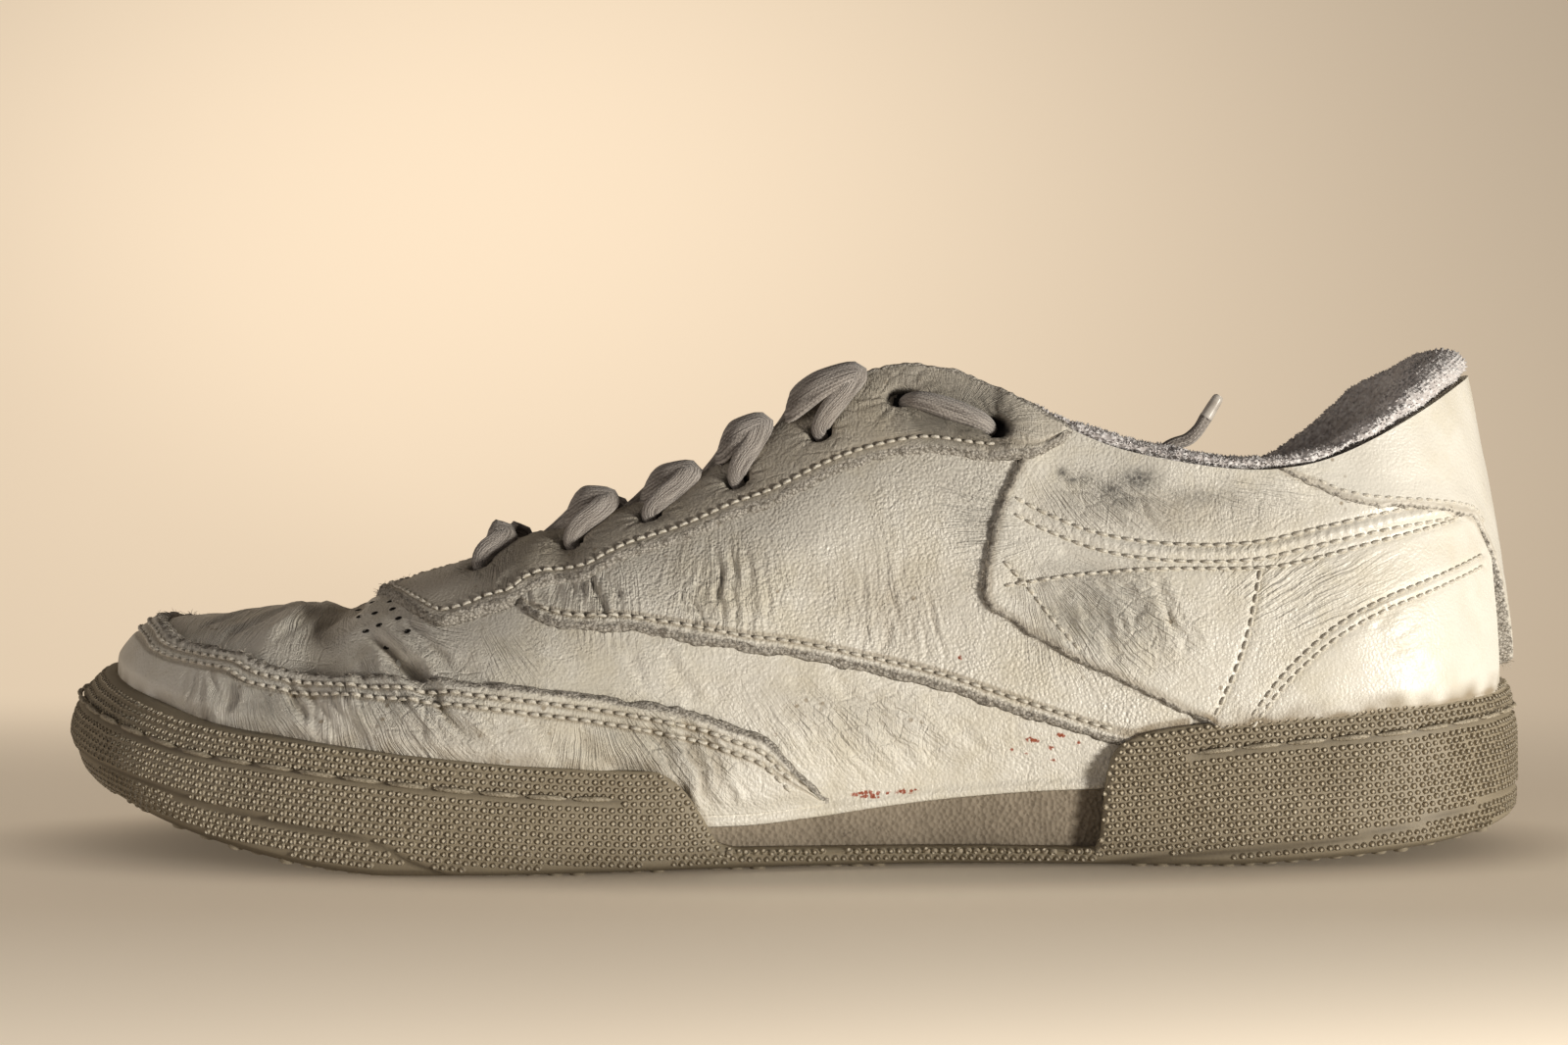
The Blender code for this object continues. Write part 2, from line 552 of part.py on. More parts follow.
def make_collar_lining(material, collection):
    """Padded terry roll: it backs the collar from inside and stands above its edge."""
    t = heel_stretch(LINING_END)
    x = foot_x(t)
    fade = smooth((x - 34 * MM) / (40 * MM))
    heel = smooth((x - 100 * MM) / (35 * MM))
    depth = (12 + 24 * fade + 8 * heel) * MM
    pad = (1.6 + 4.6 * fade + 1.6 * heel) * MM
    proud = (1.6 + 1.6 * fade + 3.0 * heel) * MM
    inner = UPPER_WALL + 3 * GAP
    over = smooth((x - LINING_END) / (12 * MM))      # its front ends stay inside the edge
    loops = []
    for low_depth in (1.0, 0.5, 0.12):
        loops.append(upper_lifted(t, v_at_depth(t, low_depth * depth), -inner))
    one = np.ones(len(t))
    rim = upper_point(t, one)
    normal = upper_normal(t, one)
    rise = rim - upper_point(t, one - 0.02)
    rise /= np.linalg.norm(rise, axis=1, keepdims=True)
    for up, out in ((0.0, -1.0), (0.45, 0.15), (0.85, 0.0), (1.0, -0.45), (0.8, -0.9)):
        level = (3 * GAP + up * (proud - 3 * GAP))[:, None] if up else 0
        sideways = -inner if up == 0 else out * pad - inner * (1 - over)
        loops.append(rim + rise * level + normal * np.broadcast_to(sideways, len(t))[:, None])
    for low_depth, thick in ((0.1, 1.0), (0.5, 0.75), (1.0, 0.25)):
        v = v_at_depth(t, low_depth * depth)
        away = inner + thick * pad + 0.5 * MM
        loops.append(upper_point(t, v) - away[:, None] * upper_normal(t, v))
    rings = np.stack(loops, axis=1)
    return add_loft("collar_lining", rings, material, collection)


def rim_station(x, side):
    """Station whose section reaches the opening's edge at x, on one side."""
    first = 4.0 if side < 0 else 26.0
    t = np.linspace(TOE_STATION, first, 400)
    return float(np.interp(x, section_row(t)[:, 2], t))


def eyelet_place(number, side):
    """Station and v of an eyelet."""
    x, depth = EYELETS[number]
    t = np.array([rim_station(x * ALONG, side)])
    return t, v_at_depth(t, np.array([depth * MM]))


def eyelet_point(number, side, lift):
    t, v = eyelet_place(number, side)
    return upper_lifted(t, v, lift)[0], upper_normal(t, v)[0]


def make_eyelet_cutters(collection):
    """One mesh of pins, one through each eyelet, square to the leather."""
    work = bmesh.new()
    for side in (-1, 1):
        for number in range(len(EYELETS)):
            point, normal = eyelet_point(number, side, 0)
            turn = Vector(normal).to_track_quat("Z", "Y").to_matrix().to_4x4()
            place = Matrix.Translation(Vector(point)) @ turn
            bmesh.ops.create_cone(
                work, cap_ends=True, segments=8, radius1=EYELET_RADIUS, radius2=EYELET_RADIUS,
                depth=12 * MM, matrix=place)
    mesh = bpy.data.meshes.new("eyelet_pins")
    work.to_mesh(mesh)
    work.free()
    pins = bpy.data.objects.new("eyelet_pins", mesh)
    collection.objects.link(pins)
    return hidden(pins)


# ---------------------------------------------------------------- lace

def smooth_path(points, count):
    """count places along a Catmull-Rom curve through the points, evenly numbered."""
    points = np.array(points, float)
    padded = np.vstack([2 * points[0] - points[1], points, 2 * points[-1] - points[-2]])
    place = np.linspace(0, len(points) - 1, count)
    i = np.clip(place.astype(int), 0, len(points) - 2)
    f = (place - i)[:, None]
    a, b, c, d = (padded[i + k] for k in range(4))
    return 0.5 * (2 * b + (c - a) * f + (2 * a - 5 * b + 4 * c - d) * f**2 + (3 * b - a - 3 * c + d) * f**3)


def ribbon_rings(path, ups, width, thickness):
    """Flat band along a path: four corners at each place, square to the path and to its up."""
    along = np.gradient(path, axis=0)
    along /= np.linalg.norm(along, axis=1, keepdims=True)
    side = np.cross(along, ups)
    side /= np.linalg.norm(side, axis=1, keepdims=True)
    up = np.cross(side, along)
    corners = ((-1, -1), (1, -1), (1, 1), (-1, 1))
    rings = [path + a * side * width / 2 + b * up * thickness / 2 for a, b in corners]
    return np.stack(rings, axis=1)


ON_TOP = OVERLAY_GAP + OVERLAY_THICKNESS + GAP + LACE_THICKNESS / 2
BENEATH = UPPER_WALL + 4 * GAP + LACE_THICKNESS / 2


def over_edge(x, side, rise):
    """A place above the throat's edge, for a strand that goes over it."""
    t = np.array([rim_station(x, side)])
    return upper_lifted(t, np.array([0.985]), ON_TOP + rise)[0], upper_normal(t, np.array([0.95]))[0]


def under_edge(x, side):
    t = np.array([rim_station(x, side)])
    return upper_lifted(t, np.array([0.97]), -BENEATH)[0], upper_normal(t, np.array([0.95]))[0]


def centre_point(x, lift):
    return np.array([x, MIDDLE_Y, throat_height(x) + lift]), np.array([-0.35, 0.0, 0.94])


def strand(stops, count=9):
    """Rings of a strand through (place, up) stops."""
    path = smooth_path([stop[0] for stop in stops], count)
    ups = smooth_path([stop[1] for stop in stops], count)
    return ribbon_rings(path, ups, LACE_WIDTH, LACE_THICKNESS)


def make_crossing(number, material, collection, helpers):
    """Two strands, from under one eyelet of each side to over the next one opposite."""
    here, there = EYELETS[number][0] * ALONG, EYELETS[number + 1][0] * ALONG
    middle = centre_point(0.5 * (here + there), 1.4 * MM)
    pieces = []
    for side in (-1, 1):
        stops = [eyelet_point(number, side, -BENEATH), under_edge(here, side), middle,
                 over_edge(there, -side, 1.9 * MM), eyelet_point(number + 1, -side, ON_TOP)]
        if side < 0:
            crossing = add_loft(f"lace_cross_{number + 1}", strand(stops), material, collection)
        else:
            other = hidden(add_loft(f"lace_strand_{number + 1}", strand(stops), material, helpers))
    combine(crossing, other, "UNION")


def make_bar(name, x, number, material, collection):
    """A strand straight across, over both edges of the throat."""
    stops = [eyelet_point(number, -1, ON_TOP), over_edge(x, -1, 0.6 * MM), centre_point(x, 2.2 * MM),
             over_edge(x, 1, 0.6 * MM), eyelet_point(number, 1, ON_TOP)]
    return add_loft(name, strand(stops), material, collection)


def make_top_bar(material, collection):
    """The last strand across, ending just below the edges behind the fifth eyelets."""
    x = 15.5 * ALONG
    stops = []
    for side in (-1, 1):
        t = np.array([rim_station(x, side)])
        v = v_at_depth(t, np.array([6 * MM]))
        end = (upper_lifted(t, v, ON_TOP)[0], upper_normal(t, v)[0])
        pair = [end, over_edge(x, side, 0.8 * MM)]
        stops = stops + [centre_point(x, 1.5 * MM)] + pair[::-1] if stops else pair
    return add_loft("lace_bar_top", strand(stops), material, collection)


def make_runner(side, material, collection):
    """The lace lying outside on the facing, from the sixth eyelet to the seventh."""
    ends = [eyelet_place(number, side) for number in (5, 6)]
    stops = []
    for share, lift in ((0.0, 0.0), (0.5, 1.6 * MM), (1.0, 0.0)):
        t = ends[0][0] * (1 - share) + ends[1][0] * share
        v = ends[0][1] * (1 - share) + ends[1][1] * share
        stops.append((upper_lifted(t, v, ON_TOP + GAP + lift)[0], upper_normal(t, v)[0]))
    rings = ribbon_rings(
        smooth_path([stop[0] for stop in stops], 6), smooth_path([stop[1] for stop in stops], 6),
        0.7 * LACE_WIDTH, LACE_THICKNESS)
    name = "lace_runner_medial" if side < 0 else "lace_runner_lateral"
    return add_loft(name, rings, material, collection)


def add_tube(name, path, radius, material, collection):
    """Round cord: a POLY curve with a bevel and filled caps."""
    curve = bpy.data.curves.new(name, "CURVE")
    curve.dimensions = "3D"
    spline = curve.splines.new("POLY")
    spline.points.add(len(path) - 1)
    spline.points.foreach_set("co", np.column_stack([path, np.ones(len(path))]).ravel())
    curve.bevel_depth = radius
    curve.bevel_resolution = 2
    curve.use_fill_caps = True
    curve.materials.append(material)
    obj = bpy.data.objects.new(name, curve)
    collection.objects.link(obj)
    return obj


def make_lace_end(cotton, plastic, collection):
    """The loose end of the lace and the aglet on its tip."""
    route = np.array(LACE_END_ROUTE) * MM
    path = smooth_path(route, 13)
    add_tube("lace_end", path, LACE_END_DIAMETER / 2, cotton, collection)
    onward = path[-1] - path[-2]
    onward /= np.linalg.norm(onward)
    tip = np.array([path[-1], path[-1] + AGLET_LENGTH * onward])
    add_tube("aglet", tip, LACE_END_DIAMETER / 2, plastic, collection)


def throat_height(x):
    """Height of the throat's edges at x, the mean of both sides."""
    sides = []
    for first, last in ((5.0, TOE_STATION), (25.0, TOE_STATION)):
        t = np.linspace(last, first, 200)
        rim = section_row(t)
        sides.append(np.interp(x, rim[:, 2], rim[:, 4]))
    return (sides[0] + sides[1]) / 2


def make_tongue(material, collection):
    """Padded tongue, sewn under the vamp and sunk between the facings."""
    x = np.linspace(-86, 32, 12) * MM
    half = eased(TONGUE_HALF_WIDTH, x)
    t = TOE_STATION
    vamp = upper_point(t, np.linspace(0.5, 1, 60))
    line = np.where(x < -78 * MM, np.interp(x, vamp[:, 0], vamp[:, 2]), throat_height(x))
    centre = line - eased(TONGUE_SINK, x)
    fall = 0.006 + 0.016 * smooth((x + 80 * MM) / (80 * MM))
    across = np.linspace(-1, 1, 7)[:, None]
    y = across * half + MIDDLE_Y
    z = centre - fall / MM * (across * half) ** 2
    grid = np.stack([np.broadcast_to(x, y.shape), y, z], axis=-1)
    return add_sheet("tongue", grid, TONGUE_THICKNESS, material, collection)


def main():
    for obj in list(bpy.data.objects):
        bpy.data.objects.remove(obj, do_unlink=True)
    shoe = new_collection("worn_sneaker")
    helpers = new_collection("cutters")
    leather = new_material("leather", (0.66, 0.60, 0.50), 0.5)
    rubber = new_material("rubber", (0.42, 0.37, 0.29), 0.7)
    foam = new_material("foam", (0.36, 0.31, 0.26), 0.9)
    terry = new_material("terry", (0.55, 0.52, 0.51), 1.0)
    cotton = new_material("cotton", (0.50, 0.46, 0.43), 0.95)
    plastic = new_material("plastic", (0.75, 0.72, 0.68), 0.4)
    lining = new_material("footbed", (0.30, 0.27, 0.24), 0.9)
    make_outsole(rubber, shoe)
    make_midsole(foam, shoe)
    make_insole(lining, shoe)
    pins = make_eyelet_cutters(helpers)
    combine(make_upper(leather, shoe), pins, "DIFFERENCE")
    make_mudguard(leather, shoe)
    combine(make_eyestay(leather, shoe), pins, "DIFFERENCE")
    for side in (-1, 1):
        make_quarter(side, leather, shoe)
    make_heel_tab(leather, shoe)
    make_collar_lining(terry, shoe)
    make_tongue(terry, shoe)
    make_bar("lace_bar_low", EYELETS[0][0] * ALONG, 0, cotton, shoe)
    for number in range(CROSSED_EYELETS - 1):
        make_crossing(number, cotton, shoe, helpers)
    make_top_bar(cotton, shoe)
    for side in (-1, 1):
        make_runner(side, cotton, shoe)
    make_lace_end(cotton, plastic, shoe)


main()
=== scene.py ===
"""The worn sneaker, dressed: creased leather, dotted rubber, terry collar and cotton lace.

Metres, +Z up, toe to -X, the inner (medial) side of the foot to -Y, as in the solids. The
leather is one surface of two parameters, a station t round the shoe and v from the sole (0)
to the edge of the opening (1). Every overlay, seam and stitch is laid on that surface.
"""

import bpy
import numpy as np
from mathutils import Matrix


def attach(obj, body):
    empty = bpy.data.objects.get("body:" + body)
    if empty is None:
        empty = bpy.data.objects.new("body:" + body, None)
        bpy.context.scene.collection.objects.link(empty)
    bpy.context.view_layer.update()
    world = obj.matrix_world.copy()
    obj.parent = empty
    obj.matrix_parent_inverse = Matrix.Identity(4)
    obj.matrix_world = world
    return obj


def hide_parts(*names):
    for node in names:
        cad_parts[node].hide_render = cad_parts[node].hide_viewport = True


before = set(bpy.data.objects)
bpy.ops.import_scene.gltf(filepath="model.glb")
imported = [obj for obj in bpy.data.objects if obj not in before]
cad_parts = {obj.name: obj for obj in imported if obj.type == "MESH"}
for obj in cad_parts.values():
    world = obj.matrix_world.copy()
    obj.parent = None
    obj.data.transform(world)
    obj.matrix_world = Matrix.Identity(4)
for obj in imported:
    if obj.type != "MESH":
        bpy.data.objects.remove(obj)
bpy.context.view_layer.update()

MM = 0.001

# ---------------------------------------------------------------- sizes, as in the solids

UPPER_WALL = 2.0 * MM
GAP = 0.3 * MM
CUP_GAP = 0.45 * MM
FLOOR_THICKNESS = 2.4 * MM
BED_GAP = 0.8 * MM
INSOLE_THICKNESS = 3.4 * MM
TONGUE_THICKNESS = 4.0 * MM
EYELET_RADIUS = 2.1 * MM
LACE_WIDTH = 7.4 * MM
LACE_THICKNESS = 1.5 * MM
LACE_END_DIAMETER = 2.6 * MM
AGLET_LENGTH = 5.0 * MM
WALL_OUT, TOE_BUMPER, HEEL_FLARE = 4.0 * MM, 4.5 * MM, 1.0 * MM
SPRING_START, SPRING_RUN, SPRING_RISE, SPRING_POWER = -75 * MM, 70 * MM, 15.3 * MM, 1.4
BEVEL_START, BEVEL_RUN, BEVEL_RISE, BEVEL_POWER = 85 * MM, 67 * MM, 7.0 * MM, 1.3
BED_DISH, BED_DISH_START, BED_DISH_RUN = 1.2 * MM, 4 * MM, 20 * MM
SOLE_CENTRE = np.array([6.0, 3.5]) * MM
SOLE_HALF_WIDTH = 45 * MM
MUDGUARD_END, LINING_END = 8.6 * MM, 38 * MM
MIDDLE_Y = 1.0 * MM

# Sections of the last: foot outline, edge of the opening, and the pulls of the curve between.
# foot x, foot y, rim x, rim y, rim z, bulge, rise, reach, drop; in millimetres.
SECTIONS = np.array((
    (145.2, 0.5, 138.6, 0, 96, 4.2, 25, 5, 26), (138.3, -20.3, 133.2, -16.5, 93, 4.2, 24, 4.5, 25),
    (121.5, -32.6, 120, -28.2, 85.3, 4.2, 22, 3.5, 22), (100, -34.9, 100.5, -31, 76.7, 4.2, 18, 2.6, 18),
    (77, -33.9, 78, -29.4, 77.3, 4, 18, 3, 18), (54, -32.4, 56.5, -24, 84, 4, 22, 5, 20),
    (30, -32.3, 32, -18.9, 96.3, 4, 30, 7, 18), (7, -34.9, 9, -17, 91.3, 4.5, 30, 10, 16),
    (-17, -39.6, -15.5, -15.3, 74.4, 5.5, 28, 14, 9), (-41, -44.8, -40, -13.4, 64.9, 6, 26, 17, 5),
    (-64, -47.5, -61.5, -11, 57.6, 6, 24, 18, 3), (-85, -46.2, -73.5, -7.5, 54, 5.5, 22, 20, 2.4),
    (-104, -40.8, -76.4, -4.5, 52.4, 4.5, 21.5, 25, 3.2),
    (-120.5, -31.3, -77.5, -2.5, 51.6, 3.5, 21.5, 34, 3.8), (-132.7, -18, -78, -1, 51.3, 2.5, 22, 43, 4),
    (-139.2, -1.5, -78.2, 0.5, 51.2, 1.5, 22.5, 48, 4.1), (-138.5, 15, -78, 2, 51.2, 1.8, 22.5, 46, 4),
    (-130.2, 31, -77.5, 3.6, 51.6, 2.8, 22, 39, 3.9), (-115, 43, -76.3, 5.6, 52.4, 3.8, 21.5, 31, 3.4),
    (-96.5, 50, -73.5, 8.2, 53.8, 4.8, 21.5, 24, 2.8), (-75, 53.6, -68.5, 10.5, 55.6, 5.6, 23, 20, 2.8),
    (-52, 54.8, -50.5, 13.2, 60.4, 6, 25, 18, 4), (-28, 53.3, -27, 15.6, 68.2, 6, 27, 16, 7),
    (-4, 50, -2.5, 17.4, 82, 5.5, 29, 13, 12), (20, 46.1, 21.5, 19, 95, 5, 30, 11, 17),
    (44, 42.3, 45.5, 22.4, 89, 5, 25, 8, 20), (68, 39.3, 68.5, 28.3, 76, 4.6, 19, 5, 18),
    (91, 37, 91.5, 31.4, 72.9, 4.4, 17, 3.4, 17), (114.5, 33.3, 113.8, 29.8, 80.4, 4.2, 20, 3.2, 20),
    (133.6, 23.7, 129.6, 21.2, 91.2, 4.2, 23, 4, 24))) * MM
STATION_COUNT = len(SECTIONS)
TOE_STATION = 15.3

# Tables along the shoe: place (x of the foot), then a value, in millimetres.
FEATHER_HEIGHT = (
    (-140, 22.8), (-125, 17.6), (-107, 13.6), (-90, 11), (-75, 10), (-40, 9.5), (-9, 9.7), (7, 11.1),
    (19, 12.8), (38, 14.8), (52, 15.8), (80, 16.8), (110, 18.4), (146, 20.2))
WALL_TOP = (
    (-140, 36.6), (-125, 31.8), (-107, 27.4), (-94, 25.8), (-79, 23.9), (-55, 21.2), (-40, 19.9),
    (-25, 19.1), (-20.5, 16.4), (-16, 10.2), (-12.5, 5.2), (-8, 4.2), (30, 3.8), (60.6, 3.6), (61.6, 13),
    (62.8, 20.2), (65.5, 23.8), (71, 25.9), (84, 27.9), (97, 29.3), (114, 30.9), (127, 32.4), (148, 34.5))
# The rows of dots run on level where the wall's edge drops to the arch.
ROW_LINE = tuple(row for row in WALL_TOP if row[0] < -22 or row[0] > 66)
MUDGUARD_HEIGHT = (
    (-139, 43.4), (-135.5, 42.8), (-130.3, 41.2), (-122.3, 40.2), (-113.8, 39.2), (-105, 37.2), (-86, 36),
    (-65.7, 35.3), (-41, 33.2), (-17, 29), (-11, 26.9), (-5, 24.6), (0, 20.1), (5, 15.3), (9, 11.6),
    (20, 16), (60, 31), (146, 47))
FACING_DEPTH = (
    (-139, 6), (-104, 7), (-85, 13.5), (-75, 20.1), (-67.2, 24.6), (-62.7, 24), (-58.3, 22.6), (-54.4, 22.6),
    (-50.5, 19.8), (-45.1, 18.8), (-39.7, 19.5), (-35.2, 17.6), (-29.3, 15.7), (-21.6, 15), (-13.2, 14.8),
    (-1.8, 17.2), (5.4, 17.9), (17.7, 18.8), (26.3, 17.9), (31.5, 17.1), (36.9, 15.4), (43.2, 11.9),
    (47.3, 8.9), (51.5, 3.8), (54.4, 0.8), (57, 0.6))
TAB_HEIGHT = (
    (90, 79.5), (94, 76.3), (99.6, 73.4), (108, 69.7), (114, 68.6), (127, 67.8), (135.5, 66.6), (139.5, 59),
    (141.5, 49), (144, 38), (146, 36.4))
TONGUE_SINK = ((-90, 2.7), (-78, 3.5), (-62, 6), (-45, 7), (-20, 9), (0, 10.5), (20, 9.5), (32, 8))
TONGUE_HALF_WIDTH = ((-90, 17), (-60, 20), (-20, 23), (20, 25), (28, 23), (32, 18))

# Eyelet holes: place along the shoe and depth from the edge of the throat.
STRETCHED_FROM = 5  # the eyelets from this one on are drawn out along the shoe
EYELETS = ((-60, 7), (-42, 8), (-26.5, 6.5), (-9, 7), (7.5, 8), (23.5, 7), (42, 8))

LACE_END_ROUTE = np.array((
    (45, -17.3, 80.1), (52.4, -17.9, 75.5), (61.3, -17.8, 73.25), (68.2, -17.1, 74.6), (73.1, -18.9, 78.2),
    (77.1, -20.4, 81.4), (80.2, -21, 82.5), (82.2, -21.3, 84.3), (83.8, -21.7, 86.9))) * MM

# ---------------------------------------------------------------- tables of the leather's looks

# Layers, as the height of their face over the leather below.
PANEL_FACE, OVERLAY_FACE, TAB_FACE = 0.9 * MM, 1.9 * MM, 2.3 * MM

# How far the rows of stitches lie from the cut edges, in millimetres.
PANEL_ROW, EYESTAY_ROW, MUDGUARD_ROWS = 2.0, 2.3, (2.2, 4.4)

# Raw lower edge of the long side panel (foot x, height), from the eyestay back to the sole.
PANEL_LOW = (
    (-54, 51.5), (-48, 47.8), (-40, 46.2), (-34, 46.2), (-22, 44.6), (-8, 42.1), (0, 41.2), (15, 38.2),
    (29, 35), (41, 31.2), (53, 27.4), (64, 24.2), (72, 23))

# Creases seen from the side (x, z): a soft trough with a ridge along each flank. side is -1
# for the medial side, 1 for the lateral side and 0 for both.
# side, x0, z0, x1, z1, x2, z2, width, depth
CREASES = np.array((
    (-1, -74.5, 48.5, -68, 43, -61.5, 37.4, 0.7, 0.45), (-1, -69, 33.2, -66, 28.5, -61, 23.5, 0.9, 0.8),
    (-1, -66, 33.6, -62.5, 29, -57, 24.5, 0.8, 0.65), (-1, -72, 33.2, -69.5, 29, -66, 24.6, 0.8, 0.55),
    (-1, -63, 33.8, -59, 30, -53, 26.5, 0.7, 0.5), (-1, -96, 36.5, -93.5, 32, -88, 27.5, 0.8, 0.5),
    (-1, -92.5, 36.5, -90, 32.5, -84, 28.5, 0.7, 0.45), (0, -84, 47, -70.5, 37.5, -57, 22, 1.3, 1.4),
    (0, -79, 44.5, -66.5, 35.8, -53.5, 22, 1, 0.8), (0, -88, 43, -77, 34, -66, 22, 1.3, 0.55),
    (-1, -98.5, 36, -86, 28.6, -75, 22.9, 1.8, 1), (-1, -94, 36.5, -84.5, 31, -77, 25.5, 1.2, 0.5),
    (-1, -111, 37.5, -107, 33, -104, 29, 1.5, 0.6), (0, -97, 46, -92, 41, -88.5, 35.5, 1.9, 0.8),
    (-1, -103, 45, -99, 41.5, -97.5, 38, 1.5, 0.6), (-1, -74, 44, -62, 39.5, -52, 32, 1.4, 0.5),
    (-1, -49, 31, -44, 26, -40.5, 20.5, 1.4, 0.4), (0, -44, 27.5, -29.5, 20.8, -15, 11.4, 1.6, 1),
    (-1, -38, 22.8, -27, 17.2, -16, 10.4, 1.3, 0.8), (-1, -27, 30, -22, 22.5, -16.6, 12, 1.4, 0.9),
    (0, -20, 29.5, -16.5, 20, -12.6, 9.8, 1.5, 1), (-1, -15.8, 29, -12.8, 19, -10, 10.4, 1.2, 0.7),
    (-1, -37.4, 55.4, -35.4, 51, -34.2, 46.6, 0.68, 0.45),
    (0, -34.4, 55.6, -32.6, 51, -31.6, 46.6, 0.6, 0.35), (-1, -39.8, 54, -38.6, 50, -38, 46.8, 0.6, 0.25),
    (-1, -20.4, 55, -18.8, 50, -18, 44.6, 0.6, 0.25), (-1, -17.8, 54, -16.6, 49, -16, 44.4, 0.6, 0.3),
    (-1, -13.2, 62.4, -12.2, 53, -11.4, 43.4, 0.6, 0.3), (-1, -10.6, 63, -9.6, 53, -9, 43, 0.6, 0.35),
    (-1, -7.6, 63, -6.8, 53, -6.2, 43, 0.52, 0.25), (-1, -4.4, 60, -3.8, 52, -3.4, 44, 0.52, 0.15),
    (-1, 20.4, 54, 22, 49, 23.4, 42, 0.6, 0.2), (0, -30, 42, -27, 38, -25, 33.5, 1, 0.4),
    (-1, -24, 42.5, -20, 37, -16, 31, 1.1, 0.5), (-1, 8, 37, 18, 28, 27, 18, 1.2, 0.5),
    (-1, 14, 35, 24, 26.5, 33, 18, 1.1, 0.4), (-1, 0, 38, 9, 28, 17, 18, 1.2, 0.4),
    (-1, 26, 33, 34, 26, 41, 20.5, 1.1, 0.3), (-1, 47, 56, 52, 49, 58, 42.5, 1.3, 0.5),
    (-1, 58, 52, 61.5, 45, 66, 38, 1.2, 0.6), (-1, 64, 55, 68.5, 48, 71, 41, 1.2, 0.5),
    (0, 72, 56, 74, 48, 79, 40, 1.2, 0.4), (-1, 52, 60.5, 58, 57.5, 66, 55.5, 1.1, 0.4),
    (-1, 54, 75, 57.5, 70, 62.5, 64.5, 0.7, 0.2), (-1, 60, 74, 64, 69, 68, 63, 0.7, 0.16),
    (-1, 67, 73, 70, 68, 74, 63, 0.7, 0.16), (1, -96, 37, -84, 30, -73, 23.5, 1.8, 0.9),
    (1, -46, 52, -43, 46, -40, 40, 1.2, 0.6), (1, -10, 60, -8, 51, -7, 42, 1, 0.5),
    (1, 62, 56, 66, 48, 70, 40, 1.3, 0.5)))
# Fans of fine pleats in side view: side, x and z of the focus, first and last angle in degrees
# (0 towards the heel, 90 up), nearest and farthest place from the focus, number, width, depth.
PLEATS = (
    (0, -87, 50, -68, -40, 8, 32, 11, 0.6, 0.24), (0, -98, 52, -70, -48, 14, 34, 8, 0.6, 0.22),
    (-1, -113, 50, -98, -62, 8, 24, 8, 0.55, 0.18), (-1, -64, 30, 20, 75, 3, 14, 6, 0.55, 0.15),
    (0, -30, 38, -72, -40, 10, 30, 8, 0.65, 0.26), (0, -20, 40, -84, -60, 12, 31, 6, 0.65, 0.26),
    (-1, -14, 72, -104, -82, 10, 32, 9, 0.5, 0.2), (-1, -34, 66, -108, -84, 8, 22, 7, 0.5, 0.24),
    (-1, 24, 66, -110, -76, 12, 30, 7, 0.5, 0.14), (-1, 56, 60, -80, -20, 4, 22, 9, 0.6, 0.24),
    (-1, 70, 58, -110, -60, 5, 20, 8, 0.6, 0.22), (-1, 10, 42, -60, -35, 6, 30, 9, 0.7, 0.22),
    (-1, -47, 62, -120, -60, 5, 17, 7, 0.55, 0.25), (1, -20, 66, -110, -70, 10, 34, 9, 0.7, 0.25),
    (1, 56, 60, -90, -30, 4, 24, 8, 0.7, 0.22), (0, 108, 36, 20, 70, 6, 20, 5, 0.8, 0.12))


def pleat_rows(side):
    """The pleats of one side as rows of bent lines."""
    rng = np.random.default_rng(11)
    rows = []
    for row_side, x, z, first, last, near, far, count, width, depth in PLEATS:
        for angle in np.radians(np.linspace(first, last, count)):
            angle = angle + rng.normal(0, 0.035) + np.array([0.0, 0.05, 0.02]) * rng.normal()
            start = near + (far - near) * rng.uniform(0, 0.4)
            end = start + (far - start) * rng.uniform(0.45, 1.0)
            at = np.array([start, 0.5 * (start + end), end])
            if row_side in (0, side):
                places = np.stack([x + at * np.cos(angle), z + at * np.sin(angle)], axis=1)
                rows.append([*places.ravel(), width * rng.uniform(0.8, 1.2), depth * rng.uniform(0.6, 1.2)])
    return np.array(rows)


# Creases seen from above (x, y), across the vamp.
# x0, y0, x1, y1, x2, y2, width, depth
TOP_CREASES = np.array((
    (-93, -34, -89.5, 0, -95, 38, 4, 1.4), (-86, -30, -84, 2, -86, 36, 1.8, 0.8),
    (-119, -16, -108, 2, -104, 20, 1.4, 0.5), (-112, -24, -101, -8, -96, 10, 1.4, 0.6),
    (-99, -30, -96, -12, -99, 6, 1.6, 0.6), (-125, 0, -116, 16, -112, 28, 1.3, 0.4),
    (-101, 14, -98, 28, -103, 40, 1.6, 0.6)))
# Broad forms seen from the side: side, x, z, half length, half height, and how far they stand
# out.
SWELLS = np.array((
    (-1, -51, 58, 8, 6, 1), (-1, -33, 63, 7, 6, 0.7), (-1, -17, 71, 7, 7, 0.5),
    (-1, -42.5, 59.5, 3.2, 8, -1), (-1, -90, 40, 7, 8, -0.9), (-1, -99, 43, 7, 6, 0.8),
    (-1, -74, 30, 9, 7, 0.8), (-1, -14, 24, 8, 9, -1), (-1, 8, 28, 16, 9, 0.8), (-1, 20, 52, 20, 12, -0.9),
    (0, 66, 48, 14, 9, 0.8), (0, 72, 68, 16, 6, -0.7), (0, 112, 48, 18, 12, 0.9), (1, -50, 56, 9, 7, 0.8),
    (1, 10, 48, 22, 14, -0.8)))
